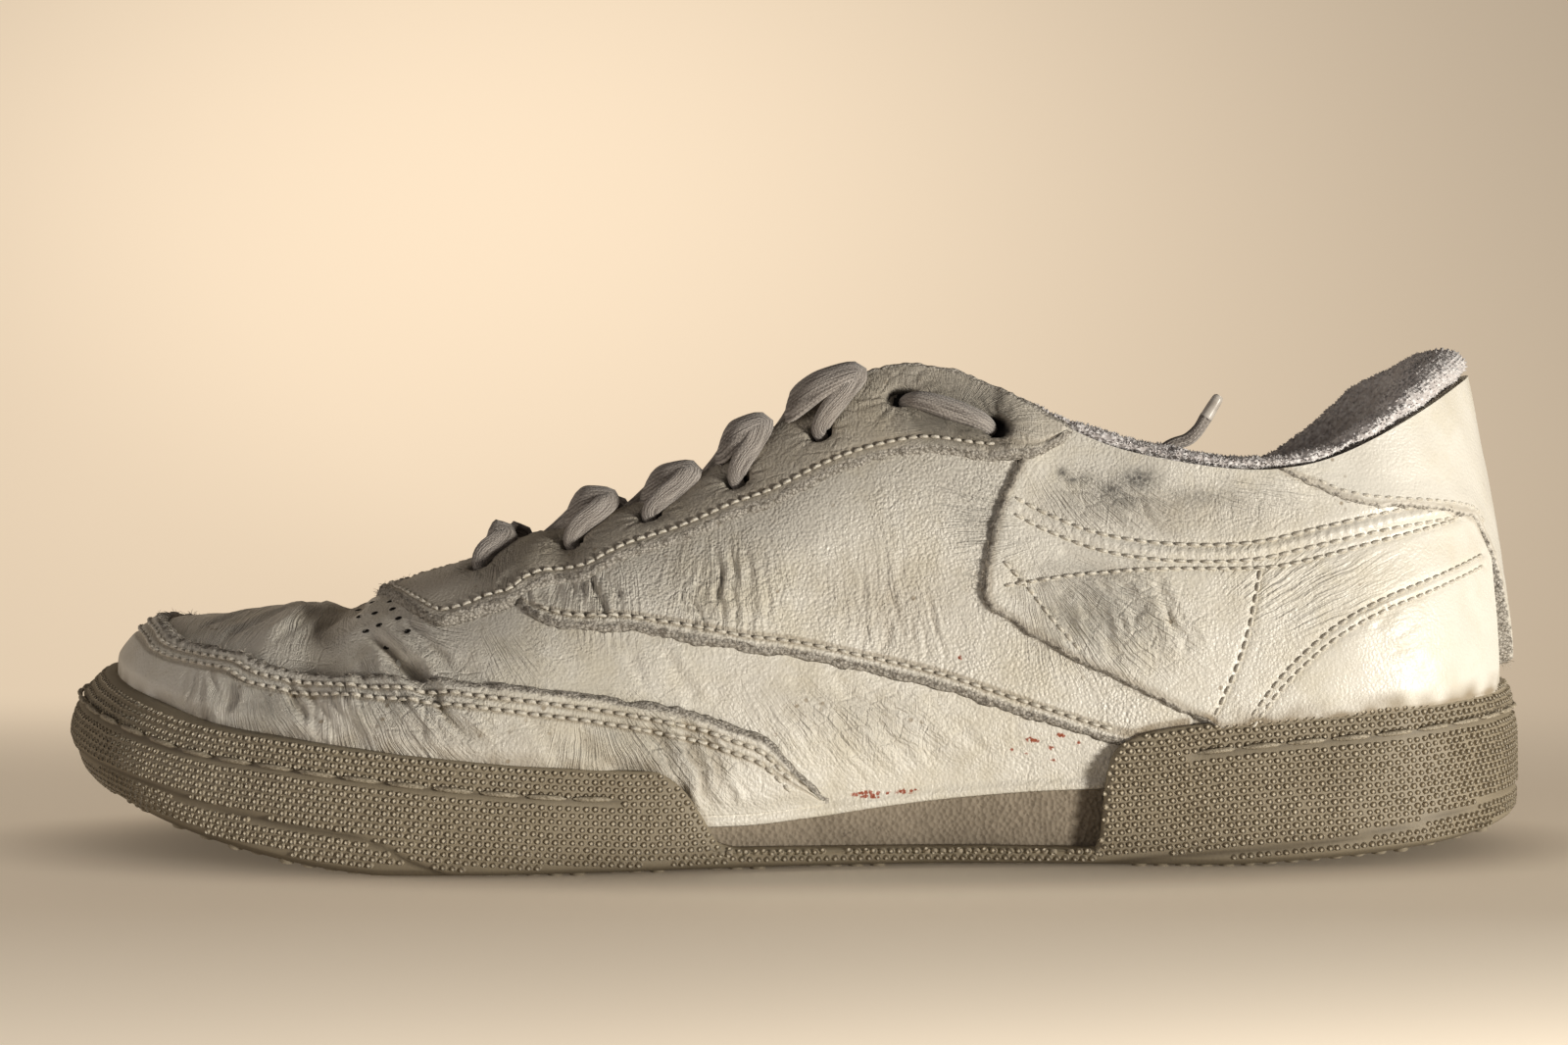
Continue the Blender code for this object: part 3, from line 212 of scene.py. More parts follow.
# Stitched seams of the overlays, seen from the side: name, side, how far the rows of stitches
# lie apart (0 for one row), pitch, and the points (x, z) of the line.
SEAMS = (
    ("collar_band_high", 0, 3.3, 2.5,
     ((44.8, 69), (52, 65.4), (62, 61.8), (75, 60), (90, 60.2), (103, 63), (117, 66.2), (131, 68.5))),
    ("collar_band_low", 0, 0.0, 2.3,
     ((42.5, 53.5), (50, 54.6), (57.6, 55.6), (72.6, 56.8), (91.2, 57), (100.7, 58.5), (115, 62.3),
      (131, 66.4))),
    ("quarter_upright", 0, 0.0, 2.3,
     ((91.6, 56.7), (90.3, 50.4), (88.7, 43.8), (85.5, 35.2), (81.7, 27.6))),
    ("heel_counter", 0, 2.2, 2.2,
     ((89.3, 27.8), (95, 35.2), (100.7, 40.9), (106.4, 45.5), (114.6, 50.1), (125, 54.1), (137, 58.4))),
    ("quarter_bow", -1, 0.0, 2.3,
     ((42.5, 58.4), (47.3, 53.1), (52.1, 46.8), (57.3, 41))))

# Stains on the medial side, by kind: x, z, half length, half height, strength.
STAINS = {
    "smudge_and_shade": (
        (69, 74.5, 3.6, 2.2, 0.95), (64, 72.4, 2.6, 1.8, 0.8), (66.5, 70.4, 4.4, 1.6, 0.5),
        (80, 71, 5, 1.8, 0.5), (59, 74.5, 1.6, 1.2, 0.5), (54.5, 75.8, 1, 0.9, 1),
        (56.4, 74.4, 1.3, 0.6, 0.95)),
    "yellow": (
        (28, 39, 14, 6, 0.18), (-60, 25, 26, 4, 0.4), (-4, 33, 16, 7, 0.3), (74, 68, 18, 5, 0.28),
        (60, 56, 9, 3, 0.2), (96, 66, 10, 5, 0.3)),
    "rust": (
        (40, 23.5, 0.5, 0.4, 0.8), (46.5, 21.3, 0.5, 0.5, 0.8), (50, 25.4, 0.4, 0.5, 0.8),
        (48, 24, 1.4, 0.7, 0.85), (51.5, 22.6, 0.8, 0.6, 0.8), (53.5, 25, 1, 0.6, 0.8),
        (56.5, 23.6, 0.7, 0.6, 0.8), (44, 22, 0.8, 0.5, 0.6), (17, 13.6, 4.5, 0.7, 0.9),
        (24, 14.2, 3, 0.6, 0.7), (34, 40, 0.5, 0.5, 0.9), (52, 20.2, 0.7, 0.5, 0.7))}


# ---------------------------------------------------------------- curves of the last

def eased(rows, place):
    """Reads a table of (place, value) rows: cubic steps that never pass beyond their rows."""
    at, value = np.array(rows, float).T * MM
    place = np.clip(place, at[0], at[-1])
    step = np.diff(at)
    slope = np.diff(value) / step
    same_way = slope[1:] * slope[:-1] > 0
    total = np.where(same_way, slope[1:] + slope[:-1], 1.0)
    lean = np.concatenate([
        slope[:1], np.where(same_way, 2 * slope[1:] * slope[:-1] / total, 0.0), slope[-1:]])
    i = np.clip(np.searchsorted(at, place) - 1, 0, len(at) - 2)
    f = (place - at[i]) / step[i]
    g = 1 - f
    return (value[i] * (1 + 2 * f) * g * g + value[i + 1] * f * f * (3 - 2 * f)
            + step[i] * f * g * (lean[i] * g - lean[i + 1] * f))


def smooth(share):
    """0 to 1 with level ends."""
    share = np.clip(share, 0, 1)
    return share * share * (3 - 2 * share)


def bell(distance, width):
    """1 in the middle, falling as a Gauss curve."""
    return np.exp(-(distance / width) ** 2)


def spline_bends(rows):
    """Second derivatives of the closed cubic spline through the rows."""
    one = np.eye(len(rows))
    matrix = 4 * one + np.roll(one, 1, axis=0) + np.roll(one, -1, axis=0)
    return np.linalg.solve(matrix, 6 * (np.roll(rows, -1, axis=0) - 2 * rows + np.roll(rows, 1, axis=0)))


SECTION_BENDS = spline_bends(SECTIONS)


def section_row(t):
    """The columns of SECTIONS at any station t, on the closed spline through them."""
    low = np.floor(t).astype(int)
    f = (t - low)[..., None]
    i, j = low % STATION_COUNT, (low + 1) % STATION_COUNT
    g = 1 - f
    return (g * SECTIONS[i] + f * SECTIONS[j]
            + ((f**3 - f) * SECTION_BENDS[j] + (g**3 - g) * SECTION_BENDS[i]) / 6)


def unit(vectors):
    return vectors / np.linalg.norm(vectors, axis=-1, keepdims=True)


def outward(t):
    """Unit vector in plan, square to the outline of the last."""
    tangent = section_row(t + 0.02)[..., :2] - section_row(t - 0.02)[..., :2]
    return unit(np.stack([-tangent[..., 1], tangent[..., 0]], axis=-1))


def upper_point(t, v):
    """Bare surface: a cubic curve in v at each station, from the foot outline up to the rim."""
    t, v = np.broadcast_arrays(np.asarray(t, float), np.asarray(v, float))
    row = section_row(t)
    normal = outward(t)
    foot, rim = row[..., 0:2], row[..., 2:4]
    far = unit(foot - rim + 12 * MM * normal)
    feather = eased(FEATHER_HEIGHT, foot[..., 0])[..., None]
    rim_z = row[..., 4:5]
    bulge, rise, reach, drop = (row[..., k:k + 1] for k in (5, 6, 7, 8))
    start = np.concatenate([foot, feather], axis=-1)
    start_pull = np.concatenate([foot + bulge * normal, feather + rise], axis=-1)
    end_pull = np.concatenate([rim + reach * far, rim_z - drop], axis=-1)
    end = np.concatenate([rim, rim_z], axis=-1)
    v = v[..., None]
    w = 1 - v
    return w**3 * start + 3 * w * w * v * start_pull + 3 * w * v * v * end_pull + v**3 * end


SURFACE_STEP = 1e-3


def step_up(t, v):
    """A short step up the bare surface, and how much v grows along it."""
    low, high = np.maximum(v - SURFACE_STEP, 0), np.minimum(v + SURFACE_STEP, 1)
    return upper_point(t, high) - upper_point(t, low), high - low


def upper_normal(t, v):
    """Unit normal of the bare surface, out of the shoe: the step along v crossed with that along t."""
    around = upper_point(t + SURFACE_STEP, v) - upper_point(t - SURFACE_STEP, v)
    return unit(np.cross(step_up(t, v)[0], around))


def length_per_v(t, v):
    """How far the surface runs for one unit of v."""
    run, grown = step_up(t, v)
    return np.linalg.norm(run, axis=-1) / grown


def v_where(grown, target):
    """v at which each section's growing measure (a row of samples) reaches its target."""
    last = grown.shape[1] - 1
    k = np.clip((grown < target[:, None]).sum(axis=1), 1, last)
    pair = np.take_along_axis(grown, np.stack([k - 1, k], axis=1), axis=1)
    share = (target - pair[:, 0]) / np.maximum(pair[:, 1] - pair[:, 0], 1e-9)
    return (k - 1 + np.clip(share, 0, 1)) / last


def v_at_height(t, height):
    points = upper_point(t[:, None], np.linspace(0, 1, 161)[None, :])
    return v_where(np.maximum.accumulate(points[..., 2], axis=1), np.broadcast_to(height, t.shape))


def v_at_depth(t, depth):
    """v at a distance from the opening's edge, measured along the section."""
    points = upper_point(t[:, None], np.linspace(0, 1, 161)[None, :])
    steps = np.linalg.norm(np.diff(points, axis=1), axis=2)
    run = np.concatenate([np.zeros((len(t), 1)), np.cumsum(steps, axis=1)], axis=1)
    return v_where(run, run[:, -1] - depth)


def foot_x(t):
    return section_row(np.asarray(t, float))[..., 0]


def station_at(x, side):
    """Stations whose foot lies at x, on the medial (-1) or the lateral (+1) side."""
    ends = (0.0, TOE_STATION) if side < 0 else (float(STATION_COUNT), TOE_STATION)
    t = np.linspace(ends[1], ends[0], 800)
    return np.interp(x, foot_x(t), t)


def rim_station(x, side):
    """Station whose section reaches the opening's edge at x, on one side."""
    t = np.linspace(TOE_STATION, 4.0 if side < 0 else 26.0, 800)
    return np.interp(x, section_row(t)[:, 2], t)


def on_side(x, z, side):
    """Station and v of places given in side view: Newton steps on the station, v from the height."""
    t = station_at(x, side)
    for _ in range(7):
        here = upper_point(t, v_at_height(t, z))[:, 0]
        there = upper_point(t + 0.02, v_at_height(t + 0.02, z))[:, 0]
        slope = np.where(np.abs(there - here) < 1e-6, 1e-6, there - here) / 0.02
        t = t - np.clip((here - x) / slope, -0.4, 0.4)
    return t, v_at_height(t, z)


def run_along(points):
    """Distance along a path of points, from 0 at its first."""
    return np.concatenate([[0], np.cumsum(np.linalg.norm(np.diff(points, axis=0), axis=1))])


def even_stations(count):
    """Stations at equal steps along the foot outline."""
    t = np.linspace(0, STATION_COUNT, 4000)
    run = run_along(section_row(t)[:, :2])
    return np.interp(np.linspace(0, run[-1], count + 1)[:-1], run, t)


def round_toe(x, count):
    """Stations from the medial side at x round the toe to the lateral side."""
    return np.linspace(station_at(x, -1), station_at(x, 1), count)


def round_heel(x, count):
    """Stations from the lateral side at x round the heel to the medial side."""
    return np.linspace(station_at(x, 1) - STATION_COUNT, station_at(x, -1), count)


def between(first, last, side, count):
    """Stations of one side between two places of the foot, given in millimetres."""
    return np.linspace(*station_at(np.array([first, last]) * MM, side), count)


def outline(t, out):
    """Outline of the last in plan, moved outward by out."""
    return section_row(t)[..., :2] + np.asarray(out)[..., None] * outward(t)


def ring(plan, height):
    return np.column_stack([plan, np.broadcast_to(height, len(plan))])


def shrunk(plan, share):
    return SOLE_CENTRE + share * (plan - SOLE_CENTRE)


def underside(x):
    """The sole's lower face: flat, with a toe spring and a worn heel bevel."""
    spring = SPRING_RISE * (np.maximum(SPRING_START - x, 0) / SPRING_RUN) ** SPRING_POWER
    bevel = BEVEL_RISE * (np.maximum(x - BEVEL_START, 0) / BEVEL_RUN) ** BEVEL_POWER
    return spring + bevel


def toe_share(t):
    return smooth((-95 * MM - foot_x(t)) / (45 * MM))


def heel_share(t):
    return smooth((foot_x(t) - 115 * MM) / (30 * MM))


def catmull_rom(a, b, c, d, f):
    """The curve from b to c at share f, bent by the places a before and d after them."""
    return 0.5 * (2 * b + (c - a) * f + (2 * a - 5 * b + 4 * c - d) * f**2 + (3 * b - a - 3 * c + d) * f**3)


def smooth_path(points, count):
    """count places along a Catmull-Rom curve through the points, evenly numbered."""
    points = np.array(points, float)
    padded = np.vstack([2 * points[0] - points[1], points, 2 * points[-1] - points[-2]])
    place = np.linspace(0, len(points) - 1, count)
    i = np.clip(place.astype(int), 0, len(points) - 2)
    f = (place - i)[:, None]
    return catmull_rom(*(padded[i + k] for k in range(4)), f)


# ---------------------------------------------------------------- relief of the worn leather

def ripple(points, wavelength, seed):
    """A wandering height of about -1 to 1: the sum of 20 plane waves in scattered directions."""
    rng = np.random.default_rng(seed)
    ways = unit(rng.normal(size=(20, 3))) * rng.uniform(0.7, 1.4, (20, 1))
    phase = rng.uniform(0, 2 * np.pi, 20)
    return np.sin(points @ (ways.T * 2 * np.pi / wavelength) + phase).sum(axis=-1) / np.sqrt(20)


def fold_profile(flat, rows):
    """Sum over rows of bent lines: at distance d from the line, -e^-(d/w)^2 for the trough and
    a lower ridge at 1.9 w on each flank, faded out towards the line's two ends."""
    total = np.zeros(flat.shape[:-1])
    for row in rows:
        width, depth = row[6:]
        ends = row[:6].reshape(3, 2)
        margin = 4 * width
        near = np.all((flat > ends.min(axis=0) - margin) & (flat < ends.max(axis=0) + margin), axis=-1)
        if not near.any():
            continue
        places = flat[near]
        best = np.full(len(places), 1e9)
        along = np.zeros(len(places))
        for k, (a, b) in enumerate(zip(ends[:-1], ends[1:])):
            share = np.clip((places - a) @ (b - a) / ((b - a) @ (b - a)), 0, 1)
            apart = np.linalg.norm(places - a - share[..., None] * (b - a), axis=-1)
            nearer = apart < best
            best = np.where(nearer, apart, best)
            along = np.where(nearer, (k + share) / 2, along)
        fade = smooth(along / 0.22) * smooth((1 - along) / 0.22)
        total[near] += depth * fade * (0.42 * bell(best - 1.9 * width, width) - bell(best, width))
    return total


def relief(points, normals):
    """How far the worn leather stands off the bare surface: creases, swells and slow ripples."""
    flat = points / MM
    medial = flat[..., 1] < MIDDLE_Y / MM
    top = smooth((normals[..., 2] - 0.45) / 0.35)
    across = smooth(np.abs(flat[..., 1] - MIDDLE_Y / MM) / 12)
    kept = (1 - top * smooth((-76 - flat[..., 0]) / 8)) * (1 - top * (1 - across))
    side_view = np.stack([flat[..., 0] + 0.6 * ripple(points, 9 * MM, 5), flat[..., 2]], axis=-1)
    result = np.zeros(flat.shape[:-1])
    for side, mask in ((-1, medial), (1, ~medial)):
        rows = CREASES[(CREASES[:, 0] == side) | (CREASES[:, 0] == 0)][:, 1:]
        result[mask] += fold_profile(side_view[mask], np.vstack([rows, pleat_rows(side)])) * kept[mask]
        x, z = side_view[mask].T
        for row_side, at_x, at_z, long, high, out in SWELLS:
            if row_side in (0, side):
                result[mask] += out * bell(x - at_x, long) * bell(z - at_z, high)
    plan = np.stack([flat[..., 0] + 0.8 * ripple(points, 11 * MM, 6), flat[..., 1]], axis=-1)
    front = flat[..., 0] < -78
    result[front] += fold_profile(plan[front], TOP_CREASES) * top[front]
    ridge = bell(flat[..., 0] + 127.5, 7.5) * bell(flat[..., 1] - 1, 21.0)
    valley = bell(flat[..., 0] + 92, 9.0) * bell(flat[..., 1] - 1, 26.0) * top
    waves = 0.12 * ripple(points, 22 * MM, 7), 0.045 * ripple(points, 8 * MM, 8)
    result += 2.0 * ridge - 1.0 * valley + waves[0] + waves[1]
    low = smooth((flat[..., 2] - 30) / 12)
    return result * MM * (0.35 + 0.65 * np.maximum(low, smooth((flat[..., 2] - 8) / 8)))


def leather(t, v, lift):
    """Places on the worn leather, lift above it, and its bare normals."""
    base, normal = upper_point(t, v), upper_normal(t, v)
    return base + (relief(base, normal) + lift)[..., None] * normal, normal


# ---------------------------------------------------------------- meshes from arrays

def grid_quads(rows, columns, round_rows=False, round_columns=False):
    """Quads between neighbouring grid places, turned so that up the rows, then along the
    columns, gives the outward side."""
    i, j = np.meshgrid(np.arange(rows - (not round_rows)), np.arange(columns - (not round_columns)),
                       indexing="ij")
    i2, j2 = (i + 1) % rows, (j + 1) % columns
    corners = (i * columns + j, i2 * columns + j, i2 * columns + j2, i * columns + j2)
    return np.stack(corners, axis=-1).reshape(-1, 4)


def tube_faces(rows, columns):
    """Faces of rings stacked into a tube, with one flat face over each end."""
    first = np.arange(columns)
    return [grid_quads(rows, columns, round_columns=True),
            np.array([first[::-1], first + (rows - 1) * columns])]


def roll_faces(rows, columns):
    """Faces of a grid whose rows close on themselves, with one flat face over each end."""
    first = np.arange(rows) * columns
    return [grid_quads(rows, columns, round_rows=True),
            np.array([first, (first + columns - 1)[::-1]])]


def fan_faces(rows, columns):
    """Faces of stacked rings, with a fan of triangles from a middle place over each end."""
    spin, last = np.arange(columns), (rows - 1) * columns
    after = (spin + 1) % columns
    middles = np.full((2, columns), rows * columns) + [[0], [1]]
    fans = np.concatenate([np.stack([middles[0], after, spin], axis=1),
                           np.stack([middles[1], last + spin, last + after], axis=1)])
    return [grid_quads(rows, columns, round_columns=True), fans]


def with_middles(grid):
    """The places of stacked rings, then the middles of the first and the last ring."""
    return np.vstack([grid.reshape(-1, 3), grid[0].mean(axis=0), grid[-1].mean(axis=0)])


def enclosed(points, faces):
    """Signed volume inside a closed mesh, from a fan of triangles in each face."""
    corner = points[faces]
    middle = [np.einsum("ij,ij->i", corner[:, 0], np.cross(corner[:, k], corner[:, k + 1]))
              for k in range(1, faces.shape[1] - 1)]
    return sum(part.sum() for part in middle)


def add_mesh(name, points, face_sets, material, slot, replaces=(), marks=None, cloth=None, closed=True):
    """A piece of the shoe from its points (n, 3) and arrays of faces, riding on the one body."""
    points = np.ascontiguousarray(points, dtype=np.float64).reshape(-1, 3)
    if closed and sum(enclosed(points, faces) for faces in face_sets) < 0:
        face_sets = [faces[:, ::-1] for faces in face_sets]
    corners = np.concatenate([faces.ravel() for faces in face_sets])
    sizes = np.concatenate([np.full(len(faces), faces.shape[1]) for faces in face_sets])
    mesh = bpy.data.meshes.new(name)
    mesh.vertices.add(len(points))
    mesh.vertices.foreach_set("co", points.ravel())
    mesh.loops.add(len(corners))
    mesh.loops.foreach_set("vertex_index", corners)
    mesh.polygons.add(len(sizes))
    mesh.polygons.foreach_set("loop_start", np.concatenate([[0], np.cumsum(sizes)[:-1]]))
    mesh.update(calc_edges=True)
    if cloth is not None:
        mesh.uv_layers.new(name="cloth").data.foreach_set("uv", cloth.reshape(-1, 2)[corners].ravel())
    for mark, values in (marks or {}).items():
        mesh.attributes.new(mark, "FLOAT", "POINT").data.foreach_set(
            "value", np.ascontiguousarray(np.broadcast_to(values, len(points)), dtype=np.float32))
    mesh.validate()
    mesh.shade_smooth()
    mesh.materials.append(material)
    piece = bpy.data.objects.new(name, mesh)
    bpy.context.scene.collection.objects.link(piece)
    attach(piece, "root")
    if replaces:
        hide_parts(*replaces)
    return piece


def scatter(centres, along, up, shape, scale=None):
    """Copies of a small shape (k, 3) in the frame of each centre: along, side = up x along, up."""
    side = unit(np.cross(up, along))
    frame_of = np.stack([along, side, np.cross(along, side)], axis=1)
    local = shape[None] if scale is None else shape[None] * scale[:, None, :]
    local = np.broadcast_to(local, (len(centres), *shape.shape))
    return centres[:, None, :] + np.einsum("nka,nab->nkb", local, frame_of)


def copied(faces, count, size):
    """The faces of one shape of size points, renumbered for count copies."""
    return (faces[None] + size * np.arange(count)[:, None, None]).reshape(-1, faces.shape[1])


def add_copies(name, copies, faces, material, slot, **options):
    """One piece made of the copies (n, k, 3) of a small shape with its arrays of faces."""
    faces = [copied(part, *copies.shape[:2]) for part in faces]
    return add_mesh(name, copies, faces, material, slot, **options)


def turns(sides):
    return np.arange(sides) * 2 * np.pi / sides


def cone(rings, sides, squash=1.0):
    """A small round shape, open below: rings of (radius, height) in millimetres."""
    places = np.array([[r * np.cos(a), squash * r * np.sin(a), z] for r, z in rings for a in turns(sides)])
    return places * MM, [grid_quads(len(rings), sides, round_columns=True),
                         np.array([np.arange(sides) + (len(rings) - 1) * sides])]


def random_size(rng, low, high, count):
    """One random size for each of count shapes, the same in every direction."""
    return rng.uniform(low, high, (count, 1)) * np.ones((1, 3))


def round_shape(rings):
    """A closed lathe-like shape along its first axis: rings of (along, radius, up), six sides."""
    turn = turns(6)
    points = np.concatenate([
        np.column_stack([np.full(6, a), r * np.cos(turn), u + r * np.sin(turn)]) for a, r, u in rings])
    return points, tube_faces(len(rings), 6)


def path_frames(points, ups, pitch):
    """Places every pitch along a path, with unit tangents and ups."""
    run = run_along(points)
    at = np.arange(0.5 * pitch, run[-1] - 0.4 * pitch, pitch)

    def read(values):
        return np.stack([np.interp(at, run, values[:, k]) for k in range(3)], axis=1)

    along = unit(read(np.gradient(points, axis=0)))
    up = read(ups)
    return read(points), along, unit(up - np.einsum("ij,ij->i", up, along)[:, None] * along)


# ---------------------------------------------------------------- materials

class Value:
    """An output in a shader. Sums, products and powers of it add the nodes that work them out."""

    def __init__(self, socket):
        self.socket = socket
        self.tree = socket.id_data

    def __add__(self, other):
        return worked("ADD", self, other)

    def __sub__(self, other):
        return worked("SUBTRACT", self, other)

    def __rsub__(self, other):
        return worked("SUBTRACT", other, self)

    def __mul__(self, other):
        return worked("MULTIPLY", self, other)

    def __truediv__(self, other):
        return worked("DIVIDE", self, other)

    def __pow__(self, other):
        return worked("POWER", self, other)

    __radd__, __rmul__ = __add__, __mul__


def new_material(name):
    material = bpy.data.materials.new(name)
    material.use_nodes = True
    tree = material.node_tree
    return material, tree, tree.nodes["Principled BSDF"]


def fill(made, values):
    """Sets the inputs of a node to numbers, or links them to the Values that are given."""
    for key, value in values.items():
        if isinstance(value, Value):
            made.id_data.links.new(value.socket, made.inputs[key])
        else:
            made.inputs[key].default_value = value
    return made


def node(tree, kind, values=(), output=0, **settings):
    """One output of a new node with these settings and inputs."""
    made = tree.nodes.new("ShaderNode" + kind)
    for key, value in settings.items():
        setattr(made, key, value)
    return Value(fill(made, dict(values)).outputs[output])


def worked(operation, a, b=0.0, clamp=False):
    """One step of arithmetic on numbers, of which one at least is a Value."""
    tree = a.tree if isinstance(a, Value) else b.tree
    return node(tree, "Math", {0: a, 1: b}, operation=operation, use_clamp=clamp)


def blend(share, a, b):
    """Colour a to colour b by share."""
    a, b = (colour if isinstance(colour, Value) else (*colour, 1) for colour in (a, b))
    return node(share.tree, "Mix", {0: share, 6: a, 7: b}, 2, data_type="RGBA")


def layered(colour, *coats):
    """A colour under coats of (share, colour), each laid over what is below."""
    for share, coat in coats:
        colour = blend(share, colour, coat)
    return colour


def ramp(value, low, high, out_low=0.0, out_high=1.0):
    """A smooth step from out_low at low to out_high at high."""
    return node(value.tree, "MapRange", {0: value, 1: low, 2: high, 3: out_low, 4: out_high},
                interpolation_type="SMOOTHSTEP")


def mark(tree, name):
    return node(tree, "Attribute", output="Fac", attribute_name=name)


def place_in(tree):
    return node(tree, "TexCoord", output="Object")


def noise(place, scale, detail=2.0, output="Fac", **inputs):
    return node(place.tree, "TexNoise", {"Vector": place, "Scale": scale, "Detail": detail, **inputs}, output)


def cells(place, scale, feature="F1", **inputs):
    """Distance to the middle or the edge of scattered cells."""
    return node(place.tree, "TexVoronoi", {"Vector": place, "Scale": scale, **inputs}, "Distance",
                feature=feature)


def mapped(place, **inputs):
    return node(place.tree, "Mapping", {"Vector": place, **inputs})


def shaken(place, scale, by):
    """A place moved by noise, up to by metres."""
    shake = noise(place, scale, output="Color")
    moved = node(place.tree, "VectorMath", {0: shake, 1: (by, by, by)}, operation="MULTIPLY")
    return node(place.tree, "VectorMath", {0: place, 1: moved}, operation="ADD")


def parted_axes(place):
    made = place.tree.nodes.new("ShaderNodeSeparateXYZ")
    return [Value(output) for output in fill(made, {0: place}).outputs]


def new_group(name, inputs, outputs):
    """A shader group: its tree, its inputs (name: default) as Values, and its output node."""
    group = bpy.data.node_groups.new(name, "ShaderNodeTree")
    for label, value in inputs.items():
        group.interface.new_socket(label, in_out="INPUT", socket_type="NodeSocketFloat").default_value = value
    for label in outputs:
        group.interface.new_socket(label, in_out="OUTPUT", socket_type="NodeSocketFloat")
    given = group.nodes.new("NodeGroupInput").outputs
    return group, [Value(given[label]) for label in inputs], group.nodes.new("NodeGroupOutput")


def place_group(tree, group, values):
    """The outputs of a group placed in a tree, by name."""
    made = tree.nodes.new("ShaderNodeGroup")
    made.node_tree = group
    return {output.name: Value(output) for output in fill(made, values).outputs}


def make_grain_group():
    """Leather grain: pebbles, fine creases between them, and folds drawn out upward."""
    group, (pebbles, crumple), result = new_group(
        "leather_grain", {"Pebble": 1.0, "Crumple": 0.0}, ("Height", "Crevice"))
    warped = shaken(place_in(group), 260.0, 0.0012)
    pebble = cells(warped, 1600.0, "SMOOTH_F1", Smoothness=0.4)
    squeeze = mapped(warped, Rotation=(0.0, -0.45, 0.0), Scale=(1900.0, 1000.0, 420.0))
    folds = worked("ABSOLUTE", noise(squeeze, 1.0, 3.0, Roughness=0.62) - 0.5)
    crack = ramp(cells(warped, 210.0, "DISTANCE_TO_EDGE"), 0.0, 0.09)
    grown = pebbles * worked("ADD", 0.25, crumple * 2.5, clamp=True)
    bunched = crumple ** 1.5
    height = (0.7 - pebble) * grown + noise(warped, 2200.0, 3.0) * 0.2
    height = height + folds * 4.0 * bunched + crack * 0.9 * bunched
    fill(result, {"Height": height, "Crevice": worked("SUBTRACT", 1.0, folds * 8.0, clamp=True)})
    return group


def make_fan_group():
    """Fine pleats that spread from a focus: noise over the angle about it, drawn out along the
    distance from it, with a crease wherever the noise crosses its middle."""
    group, focus, result = new_group("fanned_pleats", {"Focus X": 0.0, "Focus Z": 0.0}, ("Height",))
    x, y, z = parted_axes(shaken(place_in(group), 150.0, 0.0014))
    aside, above = x - focus[0], z - focus[1]
    angle = worked("ARCTAN2", above, aside)
    away = worked("SQRT", aside * aside + above * above)
    polar = node(group, "CombineXYZ", {0: angle * 30.0, 1: away * 55.0, 2: y * 30.0})
    crossed = worked("ABSOLUTE", noise(polar, 1.0, 3.5, Roughness=0.55) - 0.5)
    fill(result, {"Height": worked("MULTIPLY", crossed, 5.0, clamp=True)})
    return group


def make_dirt_group():
    """Dirt: broad clouds, small specks and streaks, as two masks."""
    group, (amount,), result = new_group("old_dirt", {"Amount": 0.5}, ("Cloud", "Speck"))
    place = place_in(group)
    cloud = noise(place, 38.0, 5.0, Roughness=0.6) * 0.7 + noise(place, 240.0, 4.0) * 0.3
    speck = ramp(cells(place, 330.0), 0.2, 0.1) * ramp(noise(place, 90.0), 0.56, 0.66)
    fill(result, {"Cloud": ramp(cloud, 0.42, 0.68) * amount, "Speck": speck * amount})
    return group


def make_fibre_group():
    """Fuzz of cut leather, terry and cotton: tangled short fibres."""
    group, (size,), result = new_group("fibres", {"Size": 1800.0}, ("Height", "Shade"))
    place = place_in(group)
    tangle = noise(place, size, 4.0, Roughness=0.7, Distortion=1.2)
    height = tangle - cells(place, size * 0.8) * 0.9
    fill(result, {"Height": height, "Shade": ramp(height, -0.35, 0.35)})
    return group


GRAIN, FAN, DIRT, FIBRE = make_grain_group(), make_fan_group(), make_dirt_group(), make_fibre_group()


def dirt(tree, amount):
    return place_group(tree, DIRT, {"Amount": amount})


def fibre(tree, size):
    return place_group(tree, FIBRE, {"Size": size})


def finish(shader, colour, roughness, height, depth, strength, **inputs):
    """Feeds a material's shader. depth is how far, in metres, a height of 1 stands out; other
    inputs are given by name, with _ for a space."""
    bump = node(shader.id_data, "Bump", {"Height": height, "Distance": depth, "Strength": strength})
    others = {key.replace("_", " "): value for key, value in inputs.items()}
    fill(shader, {"Base Color": colour, "Roughness": roughness, "Normal": bump, **others})


